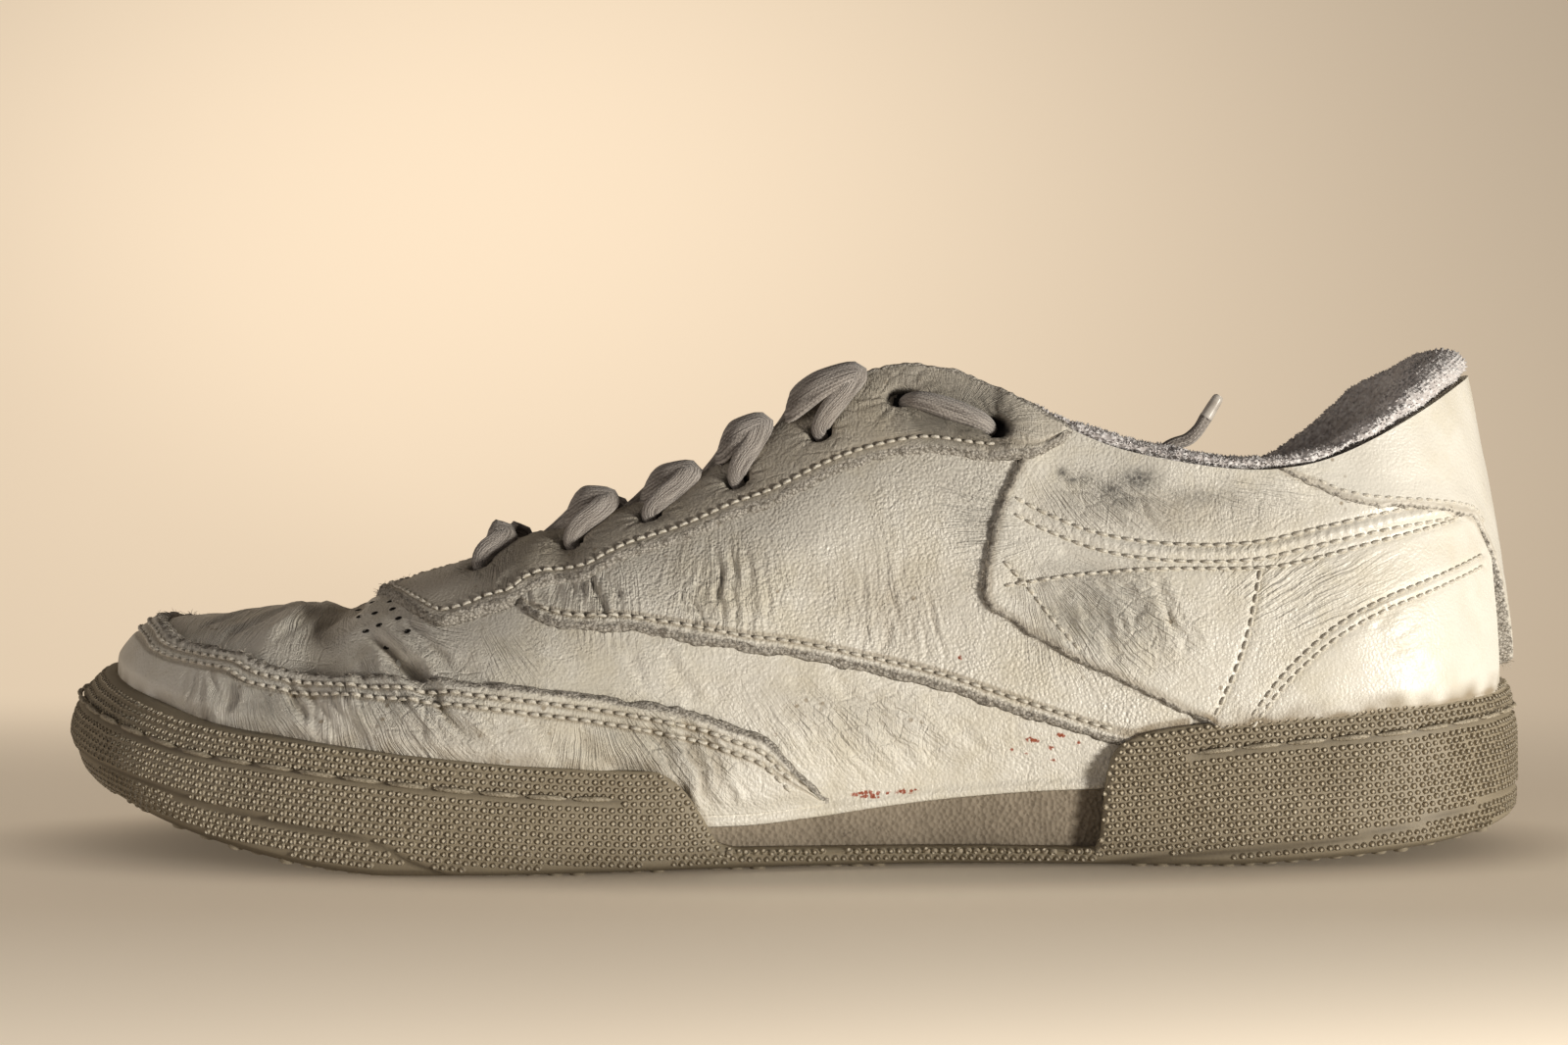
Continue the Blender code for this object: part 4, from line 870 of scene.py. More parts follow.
def make_leather(name, pebble):
    """Old white leather: cream face, dirt in creases and edges, raw cut edges of bare fibre, and painted
    shade below the facing, over the eyestay and in the eyelet holes.
    """
    material, tree, shader = new_material(name)
    soil_and_shade, raw, crumple, smudge_and_shade, rust, hole, pleat, focus_x, focus_z = (mark(tree, key) for key in (
        "soil_and_shade", "raw", "crumple", "smudge_and_shade", "rust", "hole", "pleat", "focus_x", "focus_z"))
    face = place_group(tree, GRAIN, {"Pebble": pebble, "Crumple": crumple})
    fold = place_group(tree, FAN, {"Focus X": focus_x, "Focus Z": focus_z})["Height"]
    stain, fuzz = dirt(tree, 0.75), fibre(tree, 1900.0)
    patchy = ramp(fuzz["Shade"], 0.25, 0.7)
    valley = ramp(fold, 0.14, 0.0) * (pleat * 0.3)
    colour = layered(
        blend(stain["Cloud"], (0.80, 0.765, 0.685), (0.68, 0.625, 0.50)),
        (worked("MAXIMUM", face["Crevice"] * (crumple * 0.2), valley), (0.46, 0.39, 0.29)),
        # Soil layer: dirt, and painted shade below the facing, over the eyestay and in the skin's eyelet
        # holes.
        (worked("MINIMUM", soil_and_shade, 1.0), (0.33, 0.27, 0.19)),
        (stain["Speck"], (0.30, 0.23, 0.15)),
        # Smudge layer: dark smudges, and painted shade below the facing of the medial side.
        (smudge_and_shade * (0.55 + patchy * 0.45), (0.10, 0.095, 0.09)),
        (ramp(rust * (patchy + 0.35), 0.3, 0.6), (0.34, 0.085, 0.04)),
        (raw, blend(fuzz["Shade"], (0.29, 0.255, 0.21), (0.72, 0.67, 0.59))),
        # Near-black paint on the leather sunk inside each eyelet: painted shade of the hole.
        (hole, (0.012, 0.01, 0.009)))
    gloss = worked("ADD", 0.34 + stain["Cloud"] * 0.18, worked("MAXIMUM", soil_and_shade, raw) * 0.4, clamp=True)
    height = (face["Height"] + fold * pleat * 2.3) * (1.0 - raw) + fuzz["Height"] * 2.2 * raw
    finish(shader, colour, gloss, height, 0.35 * MM, 1.0, Specular_IOR_Level=0.5)
    return material


def make_rubber():
    """Yellowed rubber: matt, dusty in its hollows, rubbed lighter where it stands out."""
    material, tree, shader = new_material("yellowed_rubber")
    lit = mark(tree, "proud")
    colour = blend(dirt(tree, 0.9)["Cloud"], (0.60, 0.53, 0.41), (0.46, 0.39, 0.28))
    colour = blend(lit, (0.27, 0.225, 0.155), colour)
    colour = blend(mark(tree, "soil_and_shade") * 0.8, colour, (0.10, 0.078, 0.05))
    finish(shader, colour, 0.62 - lit * 0.27, noise(place_in(tree), 1500.0, 4.0), 0.12 * MM, 0.6,
           Specular_IOR_Level=0.55)
    return material


def make_foam():
    """Moulded foam: dusty grey-brown, with pits and dark smudges."""
    material, tree, shader = new_material("worn_foam")
    place = place_in(tree)
    pits = cells(place, 1100.0)
    colour = layered(
        blend(dirt(tree, 1.0)["Cloud"], (0.29, 0.24, 0.178), (0.22, 0.18, 0.13)),
        (ramp(noise(place, 210.0, 7.0, Roughness=0.6), 0.635, 0.685), (0.10, 0.078, 0.055)),
        (ramp(pits, 0.22, 0.08, 0.0, 0.4), (0.16, 0.12, 0.08)))
    finish(shader, colour, 0.78, pits, 0.35 * MM, 0.9)
    return material


def make_terry():
    """Looped cotton: knobbly, pale grey with a lilac cast, darker between the loops and clouded with dirt."""
    material, tree, shader = new_material("terry_cloth")
    knob = ramp(cells(place_in(tree), 1050.0, "SMOOTH_F1", Smoothness=0.6), 0.75, 0.1)
    colour = blend(knob, (0.62, 0.575, 0.56), (0.97, 0.94, 0.93))
    colour = blend(dirt(tree, 0.8)["Cloud"] * 0.35, colour, (0.46, 0.41, 0.36))
    finish(shader, colour, 0.95, knob + fibre(tree, 1500.0)["Height"] * 0.4, 0.28 * MM, 0.8,
           Sheen_Weight=0.35, Sheen_Roughness=0.5)
    return material


def make_cotton():
    """Flat woven lace: crossed yarns along its own length (UV in millimetres), grey with wear."""
    material, tree, shader = new_material("lace_cotton")
    cloth = node(tree, "UVMap", uv_map="cloth")
    yarns = [node(tree, "TexWave", {"Vector": mapped(cloth, Rotation=(0, 0, turn)), "Scale": 0.42,
                                    "Distortion": 0.6, "Detail": 1.0}, "Fac", bands_direction="X")
             for turn in (0.7, -0.7)]
    strand = noise(mapped(cloth, Scale=(0.16, 2.6, 1)), 1.0, 3.0)
    weave = yarns[0] * yarns[1] * 0.18 + strand * 1.3
    colour = blend(ramp(weave, 0.45, 0.95), (0.15, 0.13, 0.118), (0.56, 0.51, 0.465))
    colour = blend(dirt(tree, 0.8)["Cloud"] * 0.45, colour, (0.32, 0.27, 0.22))
    finish(shader, colour, 0.9, weave + fibre(tree, 2600.0)["Height"] * 0.5, 0.3 * MM, 0.9,
           Sheen_Weight=0.25)
    return material


def make_plain(name, light, dark, roughness, size=1400.0, depth=0.15 * MM, sheen=0.0):
    """A plain finish with its own dirt: thread, foot bed cloth, bare fibre, aglet."""
    material, tree, shader = new_material(name)
    fuzz = fibre(tree, size)
    colour = blend(fuzz["Shade"], dark, light)
    colour = blend(dirt(tree, 0.9)["Cloud"] * 0.5, colour, dark)
    finish(shader, colour, roughness, fuzz["Height"], depth, 0.8, Sheen_Weight=sheen)
    return material


# ---------------------------------------------------------------- the leather's layers

def eyelet_axis(number, side):
    """Station, v, centre, normal and the direction along the shoe of an eyelet."""
    x, depth = EYELETS[number]
    t = np.array([rim_station(x * MM, side)])
    v = v_at_depth(t, np.array([depth * MM]))
    normal = upper_normal(t, v)[0]
    ahead = (upper_point(t + 0.05, v) - upper_point(t - 0.05, v))[0]
    return t[0], v[0], upper_point(t, v)[0], normal, unit(ahead - (ahead @ normal) * normal)


EYELET_AXES = {
    (number, side): eyelet_axis(number, side) for side in (-1, 1) for number in range(len(EYELETS))}


def punched(points, grow, deep):
    """Eyelets: a sunk hole, a pulled-in lip and fine rays round it; with masks of hole and rays. The hole
    mask paints the hole's shade on the leather sunk inside it.
    """
    drop, dark, pulled = (np.zeros(points.shape[:-1]) for _ in range(3))
    for (number, _), (_, _, centre, normal, ahead) in EYELET_AXES.items():
        stretched = number >= STRETCHED_FROM
        near = np.linalg.norm(points - centre, axis=-1) < 13 * MM
        to = points[near] - centre
        flat = to - (to @ normal)[:, None] * normal
        a, b = flat @ ahead / (1.4 if stretched else 1.1), flat @ np.cross(normal, ahead)
        radial, angle = np.hypot(a, b), np.arctan2(b, a)
        inside = smooth((EYELET_RADIUS + grow - radial) / (0.5 * MM) + 0.5)
        rays = 0.6 * np.cos(13 * angle + number) + 0.4 * np.cos(21 * angle + 2 * number)
        beyond = radial - EYELET_RADIUS
        lip = ((0.30 if stretched else 0.15) * rays * bell(beyond - 1.8 * MM, 2.6 * MM)
               - 0.4 * bell(beyond, 1.5 * MM))
        drop[near] += (1 - inside) * MM * lip - deep * inside
        dark[near] = np.maximum(dark[near], inside)
        pulled[near] = np.maximum(pulled[near], 0.8 * bell(beyond - 1.5 * MM, 3 * MM))
    return drop, dark, pulled


# Where the leather is crumpled into fine folds: side, x, z, half length, half height, strength.
CRUMPLED = (
    (0, -66, 33, 14, 9, 1), (0, -92, 40, 9, 8, 0.8), (-1, -14, 52, 16, 9, 0.8), (-1, -35, 50, 7, 5, 0.9),
    (0, -20, 22, 14, 11, 0.9), (-1, 18, 27, 18, 9, 0.7), (-1, 66, 46, 16, 10, 0.8), (-1, 62, 70, 10, 6, 0.8),
    (1, -10, 50, 24, 12, 0.6), (0, 40, 70, 12, 12, 0.35), (-1, 88, 68, 14, 5, 0.5), (1, 66, 50, 18, 12, 0.6))


# Where pleats spread out: side, x, z, half length, half height, strength, x and z of the focus.
FANS = (
    (0, -100, 29, 13, 8, 0.9, -106, 47), (0, -73, 30, 15, 9, 1, -88, 54), (0, -69, 43, 8, 4, 0.7, -88, 51),
    (0, -25, 21, 14, 9, 1, -37, 44), (0, -113, 45, 12, 5, 0.7, -118, 22), (0, -95, 46, 7, 6, 0.8, -98, 70),
    (-1, -35, 51, 9, 7, 0.9, -38, 96), (-1, -12, 53, 13, 9, 0.8, -14, 120),
    (0, 20, 50, 17, 13, 0.45, 8, 150), (0, 62, 47, 14, 9, 1, 46, 64), (0, 64, 70, 14, 5, 0.9, 42, 90),
    (-1, 12, 28, 22, 8, 0.7, -36, 78), (0, -52, 40, 9, 5, 0.5, -66, 60), (-1, 36, 88, 12, 6, 1, 34, 85.5),
    (-1, 38, 66, 8, 10, 0.6, 60, 66), (0, 100, 54, 16, 8, 0.45, 60, 30), (0, 92, 71, 12, 4, 0.5, 60, 80),
    (1, -10, 52, 26, 12, 0.8, -16, 130), (1, 36, 88, 12, 6, 1, 34, 85.5), (0, -55, 55, 7, 6, 0.5, -58, 80))


def leather_marks(points, depth, extra_soil_and_shade, raw, hole, pulled):
    """Masks that the leather reads: dirt lies in the troughs and just above the rubber, and painted shade
    darkens the medial side below the facing.
    """
    x, y, z = np.moveaxis(points / MM, -1, 0)
    medial = y < MIDDLE_Y / MM
    on_this = {-1: medial, 0: np.ones(medial.shape, bool), 1: ~medial}

    def spot(at_x, at_z, long, high, strength):
        return strength * bell(x - at_x, long) * bell(z - at_z, high)

    taut = smooth((x - 94) / 14) + 0.6 * smooth((-104 - x) / 10)
    crumple = (0.24 + 0.08 * np.clip(ripple(points, 20 * MM, 24), -1, 1)) * (1 - 0.75 * taut) + 0.6 * pulled
    pleat, runner_up, focus = np.zeros(depth.shape), np.zeros(depth.shape), np.zeros((2, *depth.shape))
    for side, *place, focus_x, focus_z in FANS:
        part = spot(*place) * on_this[side]
        wins = part > pleat
        runner_up = np.where(wins, pleat, np.maximum(runner_up, part))
        here = np.array([focus_x, focus_z]).reshape(2, *[1] * depth.ndim) * MM
        focus = np.where(wins, here, focus)
        pleat = np.maximum(pleat, part)
    for side, *place in CRUMPLED:
        crumple = np.maximum(crumple, spot(*place) * on_this[side])
    marks = {kind: np.zeros(depth.shape) for kind in STAINS}
    for kind, rows in STAINS.items():
        for row in rows:
            marks[kind] = np.maximum(marks[kind], spot(*row) * medial)
    above = z - eased(WALL_TOP, points[..., 0]) / MM
    grime = 0.75 * np.clip(1 - above / 3.2, 0, 1) * (0.6 + 0.4 * ripple(points, 6 * MM, 21))
    soil_and_shade = 0.5 * smooth((-depth / MM - 0.2) / 1.2) + np.clip(grime, 0, 1) + extra_soil_and_shade
    soil_and_shade += 0.55 * marks.pop("yellow")
    soil_and_shade += 0.06 * np.clip(ripple(points, 14 * MM, 22), 0, 2)
    # Painted shade: the medial side below the facing is darkened in the soil and smudge masks, for the shade
    # on that upward-tilted leather.
    painted_shade_under_facing = (smooth((z - 42 - 0.27 * (x + 39)) / 24) * smooth((52 - x) / 14)
                    * smooth((x + 70) / 14) * smooth((1 - y) / 9))
    soil_and_shade += 0.22 * painted_shade_under_facing
    marks["smudge_and_shade"] = np.maximum(marks["smudge_and_shade"], 0.27 * painted_shade_under_facing)
    return {"soil_and_shade": np.clip(soil_and_shade, 0, 1), "crumple": np.clip(crumple, 0, 1), "raw": raw, "hole": hole,
            "pleat": pleat - runner_up, "focus_x": focus[0], "focus_z": focus[1], **marks}


def leather_piece(name, t, v, lift, faces, material, replaces, soil_and_shade, raw, holes=None, closed=True,
                  lowered=0.0):
    """Puts grid places on the leather and gives them their masks."""
    base, normal = upper_point(t, v), upper_normal(t, np.clip(v, 0.002, 1))
    worn = relief(base, normal)
    hole = pulled = 0.0
    if holes is not None:
        drop, hole, pulled = punched(base, *holes)
        lift = lift + drop
    points = base + (worn + lift)[..., None] * normal
    points[..., 2] -= lowered
    marks = leather_marks(points, worn, soil_and_shade, raw, hole, pulled)
    marks = {key: np.broadcast_to(value, worn.shape).ravel() for key, value in marks.items()}
    return add_mesh(name, points, [faces], material, "leather", replaces, marks, closed=closed)


def make_upper_skin(material):
    """The shell: outer face up to the rim, the cut edge, and the inner face down again. Along
    the arch its foot hangs over the foam by a millimetre."""
    t = even_stations(720)
    v = np.concatenate([[0, 0], np.linspace(0, 1, 114), [1.0, 1.0, 1.0], np.linspace(0.985, 0.02, 12)])
    lift = np.concatenate([np.zeros(116), [-0.6 * MM, -1.3 * MM, -1.9 * MM], np.full(12, -UPPER_WALL)])
    edge = np.concatenate([np.zeros(116), np.ones(3), np.zeros(12)])
    rows, columns = len(v), len(t)
    v, lift, edge = (np.repeat(values[:, None], columns, axis=1) for values in (v, lift, edge))
    base = upper_point(t[None, :], v)
    drop, dark, _ = punched(base, 1.3 * MM, 1.7 * MM)
    lift = lift + np.where(lift == 0, drop, 0)
    x = foot_x(t)
    arch = smooth((x + 24 * MM) / (5 * MM)) * smooth((66 * MM - x) / (5 * MM))
    hang = np.zeros((rows, columns))
    hang[:3] = np.array([1.7, 1.2, 0.0])[:, None] * MM * arch
    lift[:3] += np.array([0.1, 0.75, 0.6])[:, None] * MM * arch
    # The hole mask darkens the skin sunk inside each eyelet: painted shade of the hole.
    return leather_piece("upper_leather", np.broadcast_to(t, v.shape), v, lift,
                         grid_quads(rows, columns, True, True), material, ("upper",), raw=edge,
                         soil_and_shade=0.6 * dark, lowered=hang)


def overlay(name, t, low, high, face, material, replaces, rows, raw_low=True, raw_high=False,
            stitched_low=(), stitched_high=(), tuck=0.0, holes=None, rise=0.0, soil_and_shade=0.0):
    """An overlay between two lines of v. Its cut edges slope from the leather below up to its
    face over about a millimetre, wavy and bare; rows of stitches press it in beside them. tuck
    draws the low edge in where it goes behind the rubber."""
    per = length_per_v(t, 0.5 * (low + high))
    width = np.maximum((high - low) * per, 0.02 * MM)
    ends = smooth(np.minimum(np.arange(len(t)), np.arange(len(t))[::-1]) / 3.0)
    fine = np.arange(0.95, 6.0, 0.45) * MM
    squeeze = np.minimum(1.0, 0.45 * width / fine[-1])
    slope = ((-1.1, 0.0, 1.0), (-0.75, 0.5, 1.0), (-0.3, 0.86, 1.0), (0.2, 1.02, 1.0), (0.55, 1.0, 0.5))

    def edge_rows(edge, inward, cut, stitched):
        """The rows of v of an edge, with their share of the face and their bareness."""
        if not cut:
            return [(edge, 0.0, 0.0), (edge + inward * 0.1 * MM / per, 1.0, 0.0)]
        found = [(edge + inward * across * MM * ends / per, share, raw) for across, share, raw in slope]
        for run in fine:
            pressed = 1 - sum(0.3 * MM / face * bell(run - row * MM, 0.55 * MM) for row in stitched)
            found.append((edge + inward * run * squeeze / per, pressed, 0.0))
        return found

    lines = edge_rows(low, 1, raw_low, stitched_low)
    rest = edge_rows(high, -1, raw_high, stitched_high)[::-1]
    first, last = lines[-1][0], rest[0][0]
    shares = np.linspace(0, 1, rows + 1)[1:-1]
    lines += [(first + share * (last - first), 1.0, 0.0) for share in shares] + rest
    count = len(lines)
    v = np.stack([line[0] for line in lines])
    share, raw = (np.repeat(np.array([line[k] for line in lines])[:, None], len(t), axis=1) for k in (1, 2))
    place = upper_point(t[None, :], np.clip(v, 0, 1))
    v = v + raw * (0.16 * ripple(place, 2.6 * MM, 31) + 0.22 * ripple(place, 9 * MM, 32)) * MM / per
    lift = face * share * ends
    if tuck:
        lift = lift * (0.3 + 0.7 * smooth((v - low) * per / tuck))
    lift = lift + np.where(raw > 0, 0.2 * MM * ripple(place, 1.5 * MM, 33), 0) + rise
    raw = np.maximum(raw, 1 - ends)
    back = np.linspace(high, low, 5)
    v = np.concatenate([v, back])
    lift = np.concatenate([lift, np.full(back.shape, -0.3 * MM)])
    raw = np.concatenate([raw, np.zeros(back.shape)])
    soil_and_shade = np.full(v.shape, soil_and_shade)
    soil_and_shade[:count] = np.where((raw[:count] == 0) & (share < 0.97), 0.5, soil_and_shade[:count])
    return leather_piece(name, np.broadcast_to(t, v.shape), v, lift, grid_quads(*v.shape, round_rows=True),
                         material, replaces, soil_and_shade, raw, holes)


ROUND_T = np.linspace(TOE_STATION - STATION_COUNT, TOE_STATION, 4000)
ROUND_RUN = run_along(section_row(ROUND_T)[:, :2])
ROUND_RUN -= np.interp(0, ROUND_T, ROUND_RUN)


def outline_run(t):
    """Distance along the foot outline from the back of the heel, growing on the medial side."""
    return np.interp(np.where(t > TOE_STATION, t - STATION_COUNT, t), ROUND_T, ROUND_RUN)


def near_line(flat, line):
    """Least distance from flat places to a line of points."""
    best = np.full(flat.shape[:-1], 1.0)
    for a, b in zip(line[:-1], line[1:]):
        share = np.clip((flat - a) @ (b - a) / max((b - a) @ (b - a), 1e-12), 0, 1)
        best = np.minimum(best, np.linalg.norm(flat - a - share[..., None] * (b - a), axis=-1))
    return best


def inside_by(flat, corners):
    """How far flat places lie inside a closed outline of corners, negative outside."""
    best = near_line(flat, np.vstack([corners, corners[:1]]))
    within = np.zeros(flat.shape[:-1], bool)
    for (ax, ay), (bx, by) in zip(corners, np.roll(corners, -1, axis=0)):
        crosses = (ay > flat[..., 1]) != (by > flat[..., 1])
        level = ax + (flat[..., 1] - ay) / (by - ay if by != ay else 1e-9) * (bx - ax)
        within ^= crosses & (flat[..., 0] < level)
    return np.where(within, best, -best)


def flat_line(points_mm, side, foot=False):
    """A line given in side view (or, with foot, by the foot's x) in unrolled coordinates."""
    x, z = np.array(points_mm, float).T * MM
    t = station_at(x, side) if foot else on_side(x, z, side)[0]
    return np.stack([outline_run(t), z], axis=1)


def seam_rows(apart):
    """Where the rows of a seam lie beside its line: one on it, or two this far apart."""
    return (-apart / 2, apart / 2) if apart else (0.0,)


def seam_dips(flat, side):
    """Troughs that the rows of stitches press into the quarter of one side."""
    drop = np.zeros(flat.shape[:-1])
    for name, seam_side, apart, _, points in SEAMS:
        if seam_side in (0, side):
            line = flat_line(smooth_path(points, 40), side)
            for row in seam_rows(apart):
                drop -= 0.32 * MM * bell(near_line(flat, line + [0, row * MM]), 0.6 * MM)
            if apart:
                ribs = 0.75 + 0.25 * np.cos(flat[..., 0] * 2 * np.pi / (1.9 * MM))
                ridge = 0.45 * MM * bell(near_line(flat, line), 0.85 * MM)
                drop += ridge * (ribs if name == "collar_band_high" else 0.4)
    return drop


def patch(name, t, low, rows, corners, face, material, replaces, plump, sewn_side=0):
    """An overlay cut out of a dense grid from low to the rim: its height rises across about a
    millimetre at the outline, where it is bare and wavy, and dips at the seams of its side."""
    v = np.linspace(low, np.ones(len(t)), rows)
    t = np.broadcast_to(t, v.shape)
    place = upper_point(t, v)
    flat = np.stack([outline_run(t), place[..., 2]], axis=-1)
    wander = 0.16 * ripple(place, 2.6 * MM, 34) + 0.22 * ripple(place, 9 * MM, 35)
    depth = inside_by(flat, corners) + wander * MM
    rise = smooth((depth + 0.75 * MM) / (1.25 * MM))
    lift = -0.35 * MM + (face + 0.35 * MM) * rise + plump * smooth(1 - depth / (7 * MM)) * rise
    raw = (depth < 0.42 * MM) * 1.0
    dips = seam_dips(flat, sewn_side) if sewn_side else 0.0
    lift += np.where(raw > 0, 0.1 * MM * ripple(place, 1.7 * MM, 33), 0) + dips
    faces = grid_quads(*v.shape)
    kept = (depth.ravel()[faces] > -1.0 * MM).any(axis=1)
    used, faces = np.unique(faces[kept], return_inverse=True)
    soil_and_shade = 0.5 * bell(depth - 1.0 * MM, 0.6 * MM)
    t, v, lift, soil_and_shade, raw = (values.ravel()[used] for values in (t, v, lift, soil_and_shade, raw))
    return leather_piece(name, t, v, lift, faces.reshape(-1, 4), material, replaces, soil_and_shade, raw, closed=False)


# Outline of the rear quarter: its raw front and lower edge in side view, then by the foot's x.
QUARTER_FRONT = (
    (48.5, 86), (46.5, 78.5), (43.6, 73), (41, 65.4), (38.6, 56), (38.7, 52), (40.3, 49), (47.5, 44),
    (57.4, 38.8), (67.5, 34), (79.5, 28.6))
QUARTER_REAR = (
    (84, 26), (97, 27.5), (114, 29), (127, 30.5), (139, 32.5), (142.5, 44), (141, 58), (136, 67),
    (127, 69.5), (114, 70.5), (105, 73), (97, 76), (96, 92), (48, 95))


def make_quarter(side, material):
    """The rear quarter of one side, pressed in along its seams."""
    t = between(139.5, 34.0, side, 230 if side < 0 else 170)
    low = v_at_height(t, np.maximum(eased(WALL_TOP, foot_x(t)) - 1 * MM, 25 * MM))
    corners = np.vstack([flat_line(QUARTER_FRONT, side), flat_line(QUARTER_REAR, side, foot=True)])
    side_name = "medial" if side < 0 else "lateral"
    return patch(f"rear_quarter_{side_name}", t, low, 120 if side < 0 else 90, corners, OVERLAY_FACE,
                 material, (f"quarter_{side_name}",), 0.3 * MM, side)


def make_heel_tab(material):
    """The high tab round the heel, cut out between the two ends of its lower edge."""
    t = round_heel(87 * MM, 300)
    medial, lateral = (flat_line(TAB_HEIGHT, side, foot=True) for side in (-1, 1))
    top = [[medial[0, 0], 110 * MM], [lateral[0, 0], 110 * MM]]
    corners = np.vstack([lateral, medial[::-1], top])
    return patch("heel_tab_leather", t, v_at_height(t, 34 * MM), 96, corners, TAB_FACE, material,
                 ("heel_tab",), 0.6 * MM)


def make_side_panel(side, material):
    """The long panel of one side, from its raw lower edge up to the facing."""
    t = between(-53.0, 79.0, side, 320 if side < 0 else 220)
    x = foot_x(t)
    rubber = np.where(x > 64 * MM, eased(WALL_TOP, x) - 1.2 * MM, 0)
    low = v_at_height(t, np.maximum(eased(PANEL_LOW, x), rubber))
    high = np.maximum(v_at_depth(t, eased(FACING_DEPTH, x) - 3.0 * MM), low + 0.01)
    high = np.where(x > 44 * MM, np.minimum(high, v_at_height(t, 60 * MM)), high)
    name = "side_panel_medial" if side < 0 else "side_panel_lateral"
    return overlay(name, t, low, high, PANEL_FACE, material, (), 60 if side < 0 else 36,
                   stitched_low=(PANEL_ROW,))


def make_mudguard(material):
    """The overlay round the toe, tucked in behind the rubber."""
    t = round_toe(MUDGUARD_END, 620)
    x = foot_x(t)
    low = v_at_height(t, eased(WALL_TOP, x) - 1.2 * MM)
    low = np.where(x > -18 * MM, np.maximum(low, v_at_height(t, eased(FEATHER_HEIGHT, x) + 0.6 * MM)), low)
    high = np.maximum(v_at_height(t, eased(MUDGUARD_HEIGHT, x)), low + 0.012)
    return overlay("toe_mudguard", t, low, high, OVERLAY_FACE, material, ("mudguard",), 36, raw_low=False,
                   raw_high=True, stitched_high=MUDGUARD_ROWS, tuck=4 * MM)


def make_eyestay(material):
    """The facing round the throat, with its eyelets, raised at the back end, and darkened all over with
    painted shade.
    """
    t = round_toe(54.8 * MM, 700)
    low = v_at_depth(t, eased(FACING_DEPTH, foot_x(t)))
    rise = 1.7 * MM * smooth((foot_x(t) - 38 * MM) / (5 * MM))
    # Painted shade: the soil of 0.33 darkens the whole facing, for the shade on its upward faces.
    return overlay("lace_eyestay", t, low, np.full(len(t), 0.998), OVERLAY_FACE, material, ("eyestay",), 26,
                   raw_high=True, stitched_low=(EYESTAY_ROW,), holes=(0.0, 3.1 * MM), rise=rise, soil_and_shade=0.33)


# ---------------------------------------------------------------- stitches, holes and fray

STITCH, STITCH_FACES = round_shape(((-0.5, 0.15, -0.9), (-0.36, 0.9, 0.1), (0.0, 1.0, 0.45), (0.36, 0.9, 0.1),
                                    (0.5, 0.15, -0.9)))


def seam_places():
    """Every seam as (places, normals, pitch, thickness)."""
    found = []

    def add(t, v, face, pitch, thick=0.36 * MM):
        points, normals = leather(t, v, face)
        found.append((points, normals, pitch * MM, thick))

    for _, seam_side, apart, pitch, points in SEAMS:
        for side in ((-1, 1) if seam_side == 0 else (seam_side,)):
            t, v = on_side(*smooth_path(points, 90).T * MM, side)
            per = length_per_v(t, v)
            for row in seam_rows(apart):
                add(t, v + row * MM / per, OVERLAY_FACE - 0.12 * MM, pitch)
    for side in (-1, 1):
        t = between(-48.0, 64.0, side, 260)
        low = v_at_height(t, eased(PANEL_LOW, foot_x(t)))
        add(t, low + PANEL_ROW * MM / length_per_v(t, low), PANEL_FACE, 2.4)
    t = round_toe(1 * MM, 700)
    high = v_at_height(t, eased(MUDGUARD_HEIGHT, foot_x(t)))
    for across in MUDGUARD_ROWS:
        add(t, high - across * MM / length_per_v(t, high), OVERLAY_FACE - 0.05 * MM, 2.4, 0.42 * MM)
    t = round_toe(50 * MM, 700)
    low = v_at_depth(t, eased(FACING_DEPTH, foot_x(t)))
    add(t, low + EYESTAY_ROW * MM / length_per_v(t, low), OVERLAY_FACE - 0.05 * MM, 2.2)
    t = round_heel(102 * MM, 300)
    t = t[np.abs(foot_x(t)) < 138 * MM]
    for part in (t[t < 0], t[t > 0]):
        low = v_at_height(part, eased(TAB_HEIGHT, foot_x(part)))
        add(part, low + 2.0 * MM / length_per_v(part, low), TAB_FACE + 0.3 * MM, 2.2)
    return found


def make_stitches(seams, material):
    """Each stitch is a small bowed thread whose ends dive into the leather."""
    points = []
    for places, normals, pitch, thick in seams:
        centres, along, up = path_frames(places, normals, pitch)
        points.append(scatter(centres, along, up, STITCH, np.array([[0.86 * pitch, thick, thick]])))
    return add_copies("seam_stitches", np.concatenate(points), STITCH_FACES, material, "leather")


# Perforations of the vamp on each flank of the throat's front: x, z in side view.
PERFORATIONS = (
    (-84, 47.3), (-82.5, 49.6), (-81.7, 45), (-80.8, 47.9), (-79.8, 51.2), (-78.9, 45.7), (-78.7, 50.2),
    (-77.4, 48.9), (-77, 42.9), (-75.4, 47.2), (-72.8, 44.8), (-86.2, 49.3))


def make_perforations(material):
    """Punched holes of the vamp as small sunk cones with a dark floor."""
    shape, faces = cone(((0.72, 0.02), (0.52, 0.10), (0.42, 0.02)), 8)
    points = []
    for side in (-1, 1):
        t, v = on_side(*np.array(PERFORATIONS).T * MM, side)
        centres, normals = leather(t, v, 0.02 * MM)
        points.append(scatter(centres, unit(np.cross(normals, [0.0, 0.3, 1.0])), normals, shape))
    return add_copies("vamp_perforations", np.concatenate(points), faces, material, "leather", closed=False)


